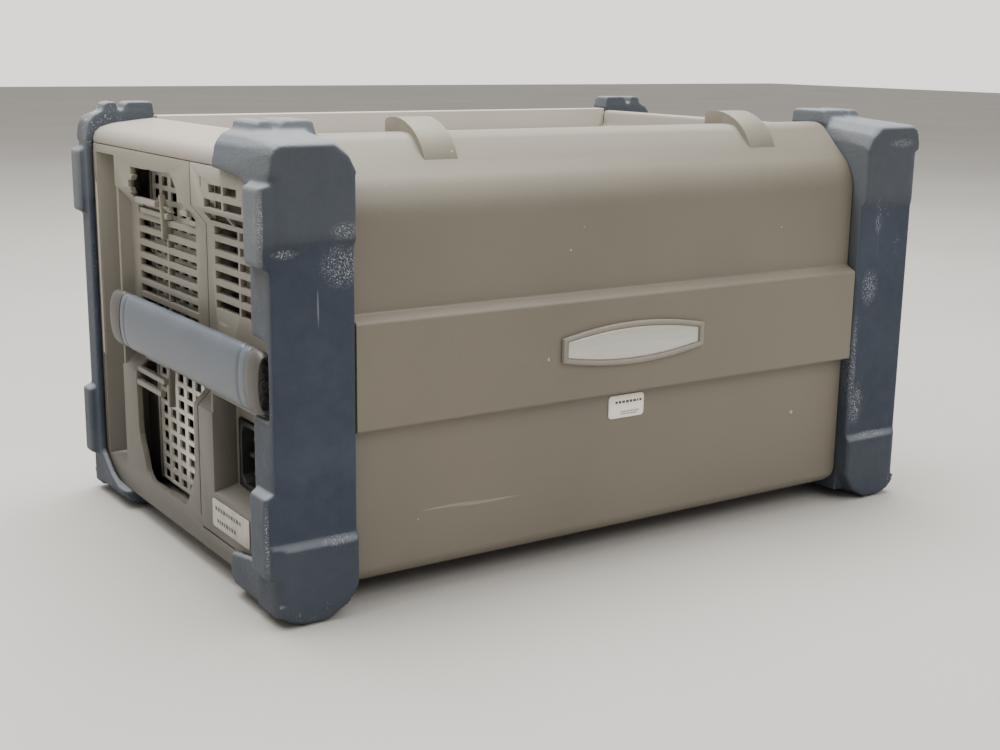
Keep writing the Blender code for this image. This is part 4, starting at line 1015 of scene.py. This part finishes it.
def carrying_handle():
    """Vinyl grip with a groove at each end, and two end caps."""
    centre = ((GRIP_LOW[0] + GRIP_HIGH[0]) / 2, (GRIP_LOW[2] + GRIP_HIGH[2]) / 2)
    half_x = (GRIP_HIGH[0] - GRIP_LOW[0]) / 2
    half_z = (GRIP_HIGH[2] - GRIP_LOW[2]) / 2
    start, end = GRIP_LOW[1], GRIP_HIGH[1]
    half_profile = ((0.0, 0.90), (0.5, 0.955), (1.4, 0.965), (4.0, 0.965), (4.9, 0.955), (5.4, 0.90),
                    (6.0, 0.90),
                    (6.6, 0.955), (7.6, 0.995), (9.0, 1.0), (13.0, 1.0), (20.0, 0.992), (40.0, 0.985))
    stations = [(start + d, share) for d, share in half_profile]
    stations += [(end - d, share) for d, share in reversed(half_profile)]
    bm = bmesh.new()
    loft(bm, [[(a, y, b) for a, b in oval(centre, half_x * share, half_z * (0.5 + 0.5 * share))]
              for y, share in stations])
    grip = shaded(from_bmesh("vinyl_grip", bm, VINYL), 60.0)
    add_wear(grip, 0.6)
    place(grip, "handle", "grip vinyl", "handle_grip", "handle_strap")
    for name, source, tip in (("cap_front", "handle_cap_front", -1), ("cap_rear", "handle_cap_rear", 1)):
        low, high = corner(source, 0, 1), corner(source, 1, 1)
        base, top = (high, low) if tip < 0 else (low, high)
        length = abs(top - base)
        bm = bmesh.new()
        rings = []
        for share, grow in ((0.0, 0.96), (0.04, 1.0), (0.40, 1.0), (0.62, 0.985), (0.80, 0.945), (0.92, 0.87),
                            (1.0, 0.78), (1.0, 0.70), (0.93, 0.665), (0.80, 0.65)):
            y = base + tip * share * length
            rings.append([(a, y, b) for a, b in oval(centre, half_x * grow, half_z * (0.35 + 0.65 * grow))])
        loft(bm, rings)
        cap = shaded(from_bmesh("handle_" + name, bm, CAP_ABS), 45.0)
        add_wear(cap, 0.5)
        place(cap, "handle", "case moulding", source)
        bm = bmesh.new()
        floor = base + tip * CAP_HOLLOW * length
        for z, radius in ((-6.2, 2.1), (-0.4, 2.3), (5.6, 2.1)):
            rings = []
            for grow, lift in ((1.0, 0.0), (1.0, 0.9), (0.85, 1.1), (0.62, 1.1), (0.55, 0.8), (0.5, 0.1)):
                rings.append([(a, floor + tip * (lift - 0.05), b)
                              for a, b in circle((centre[0], centre[1] + z), radius * grow, 20)])
            loft(bm, rings)
        rings = []
        for grow, lift in ((0.66, 0.05), (0.66, 0.30), (0.60, 0.42)):
            rings.append([(a, floor + tip * lift, b)
                          for a, b in oval(centre, half_x * grow, half_z * (0.35 + 0.65 * grow))])
        loft(bm, rings)
        core = shaded(from_bmesh("handle_core_" + name, bm, CAP_END), 40.0)
        place(core, "handle", "black plastic")
    for source in ("handle_post_front", "handle_post_rear"):
        item = edged(merged_copy("slide_" + source, source, CASE_STEEL), 0.4, 2)
        place(item, "handle", "zinc plated steel", source)


# --------------------------------------------------------------------------- covers and the rest

SOFTENED = (
    ("top_shell", "top_cover", CASE_ABS, "case", "case moulding", 0.7),
    ("rear_shell", "rear_panel", LIT_REAR_ABS, "case", "case moulding", 0.6),
    ("right_shell", "right_side_panel", CASE_ABS, "case", "case moulding", 0.7),
    ("bottom_shell", "bottom_cover", CASE_ABS, "case", "case moulding", 0.5),
    ("control_frame", "front_frame", CASE_ABS, "case", "case moulding", 0.5),
    ("inlet_body", "mains_inlet", BLACK, "case", "black plastic", 0.35),
    ("connector_panel", "connector_plate", ALUMINIUM, "case", "aluminium sheet", 0.25),
    ("screen_window", "display_window", GLASS, "case", "display window", 0.3),
    ("module_can", "measurement_module", ALUMINIUM, "case", "aluminium sheet", 0.5),
    ("supply_can", "power_supply", CASE_STEEL, "case", "zinc plated steel", 0.5),
    ("inner_chassis", "chassis", CASE_STEEL, "case", "zinc plated steel", 0.3),
    ("display_can", "display_module", ALUMINIUM, "case", "aluminium sheet", 0.5),
)


def softened_pieces():
    """Covers and fittings whose shape is the part's own, with their edges rounded."""
    for name, source, look, body, slot, width in SOFTENED:
        item = edged(merged_copy(name, source, look), width, 3 if width > 0.45 else 2)
        add_wear(item, 0.5)
        place(item, body, slot, source)
    for name in sorted(NODES):
        if name.startswith(("softkey_", "key_")) and name != "key_board" or name == "power_button":
            item = edged(merged_copy("cap_" + name, name, KEYS), 0.45, 3)
            place(item, name, "key rubber", name)
        if name.startswith(("bnc_connector_", "optical_port_", "rear_screw_")):
            item = edged(merged_copy("turned_" + name, name, SCREEN_STEEL), 0.2, 2)
            place(item, "case", "zinc plated steel", name)
        if name.startswith("fan_frame_"):
            item = edged(merged_copy("duct_" + name, name, BLACK), 0.3, 2)
            place(item, "case", "black plastic", name)
        if name.startswith("fan_rotor_"):
            item = edged(merged_copy("blades_" + name, name, DARK), 0.3, 2)
            place(item, name, "dark moulding", name)
        if name.startswith("lid_pin_"):
            item = edged(merged_copy("steel_" + name, name, CASE_STEEL), 0.3, 2)
            place(item, "lid", "zinc plated steel", name)
    for name in ("main_board", "key_board"):
        NODES[name].data.materials.clear()
        NODES[name].data.materials.append(BOARD)


# --------------------------------------------------------------------------- stage

def floor_look():
    """Matt paper floor."""
    mat, tree, shader, point = blank("matt paper, pale grey")
    cloud = node(tree, NOISE, Vector=point, Scale=3.0, Detail=3.0, Roughness=0.5).outputs["Fac"]
    connect(tree, shader, Base_Color=node(tree, RAMP, {"stops": [(0.3, "a5a39f"), (0.7, "acaaa6")]},
                                          Fac=cloud).outputs["Color"], Roughness=0.85)
    return mat


def area_light(name, place_at, aim, size, power, colour):
    data = bpy.data.lights.new(name, "AREA")
    data.shape = "RECTANGLE"
    data.size, data.size_y = size
    data.energy = power
    data.color = colour
    item = bpy.data.objects.new(name, data)
    item.location = place_at
    item.rotation_euler = (Vector(aim) - Vector(place_at)).to_track_quat("-Z", "Y").to_euler()
    bpy.context.scene.collection.objects.link(item)


FLOOR_HALF = 6.0
FLOOR_DROP = 0.0003
CAMERA_LENS = 51.47
CAMERA_AT = (-0.37398, -0.5614, 0.21344)
LIGHT_AIM = (0.0, 0.0, 0.1)


def stage_and_camera():
    """Pale paper floor, soft room, three area lights and the camera; lengths here are metres."""
    bm = bmesh.new()
    half = FLOOR_HALF
    corners = [bm.verts.new(point) for point in ((-half, -half, 0), (half, -half, 0), (half, half, 0),
                                                 (-half, half, 0))]
    bm.faces.new(corners)
    floor = from_bmesh("paper_floor", bm, floor_look(), 1.0)
    floor.data.transform(Matrix.Translation((0.0, 0.0, -FLOOR_DROP)))
    if floor.data.polygons[0].normal.z < 0:
        floor.data.flip_normals()

    world = bpy.data.worlds.new("soft room")
    world.use_nodes = True
    tree = world.node_tree
    back = tree.nodes["Background"]
    back.inputs["Color"].default_value = srgb("f4efe9")
    # The room is brighter behind the object than in front of it.
    toward = node(tree, "ShaderNodeTexCoord").outputs["Generated"]
    behind = node(tree, "ShaderNodeVectorMath", {"operation": "DOT_PRODUCT"}, i0=toward, i1=(0.54, 0.84, 0.0))
    level = node(tree, "ShaderNodeMapRange", Value=behind.outputs["Value"], From_Min=0.35, From_Max=0.85,
                 To_Min=0.62, To_Max=1.9)
    tree.links.new(level.outputs["Result"], back.inputs["Strength"])
    bpy.context.scene.world = world

    area_light("overhead", (0.12, 0.32, 1.45), LIGHT_AIM, (1.6, 1.2), 60.0, (1.0, 0.98, 0.95))
    area_light("front_fill", (0.4, -1.25, 1.25), LIGHT_AIM, (1.4, 1.0), 15.0, (1.0, 0.98, 0.96))
    area_light("near_left", (-0.34, -0.02, 0.52), (-0.16, 0.0, 0.15), (0.25, 0.35), 2.4, (1.0, 0.98, 0.95))

    data = bpy.data.cameras.new("camera")
    data.lens = CAMERA_LENS
    data.sensor_width = 36.0
    data.clip_start = 0.02
    data.clip_end = 30.0
    camera = bpy.data.objects.new("camera", data)
    right = Vector((0.83288802, -0.55327365, 0.01363158))
    up = Vector((0.1137799, 0.19528271, 0.97412463))
    forward = Vector((0.5416195, 0.80978573, -0.22560005))
    pose = Matrix.Identity(4)
    for i in range(3):
        pose[i][0], pose[i][1], pose[i][2] = right[i], up[i], -forward[i]
    pose.translation = Vector(CAMERA_AT)
    camera.matrix_world = pose
    bpy.context.scene.collection.objects.link(camera)
    bpy.context.scene.camera = camera


stage_and_camera()
corner_bumpers()
front_lid()
name_plate()
labels()
side_panel()
fan_guard()
carrying_handle()
softened_pieces()
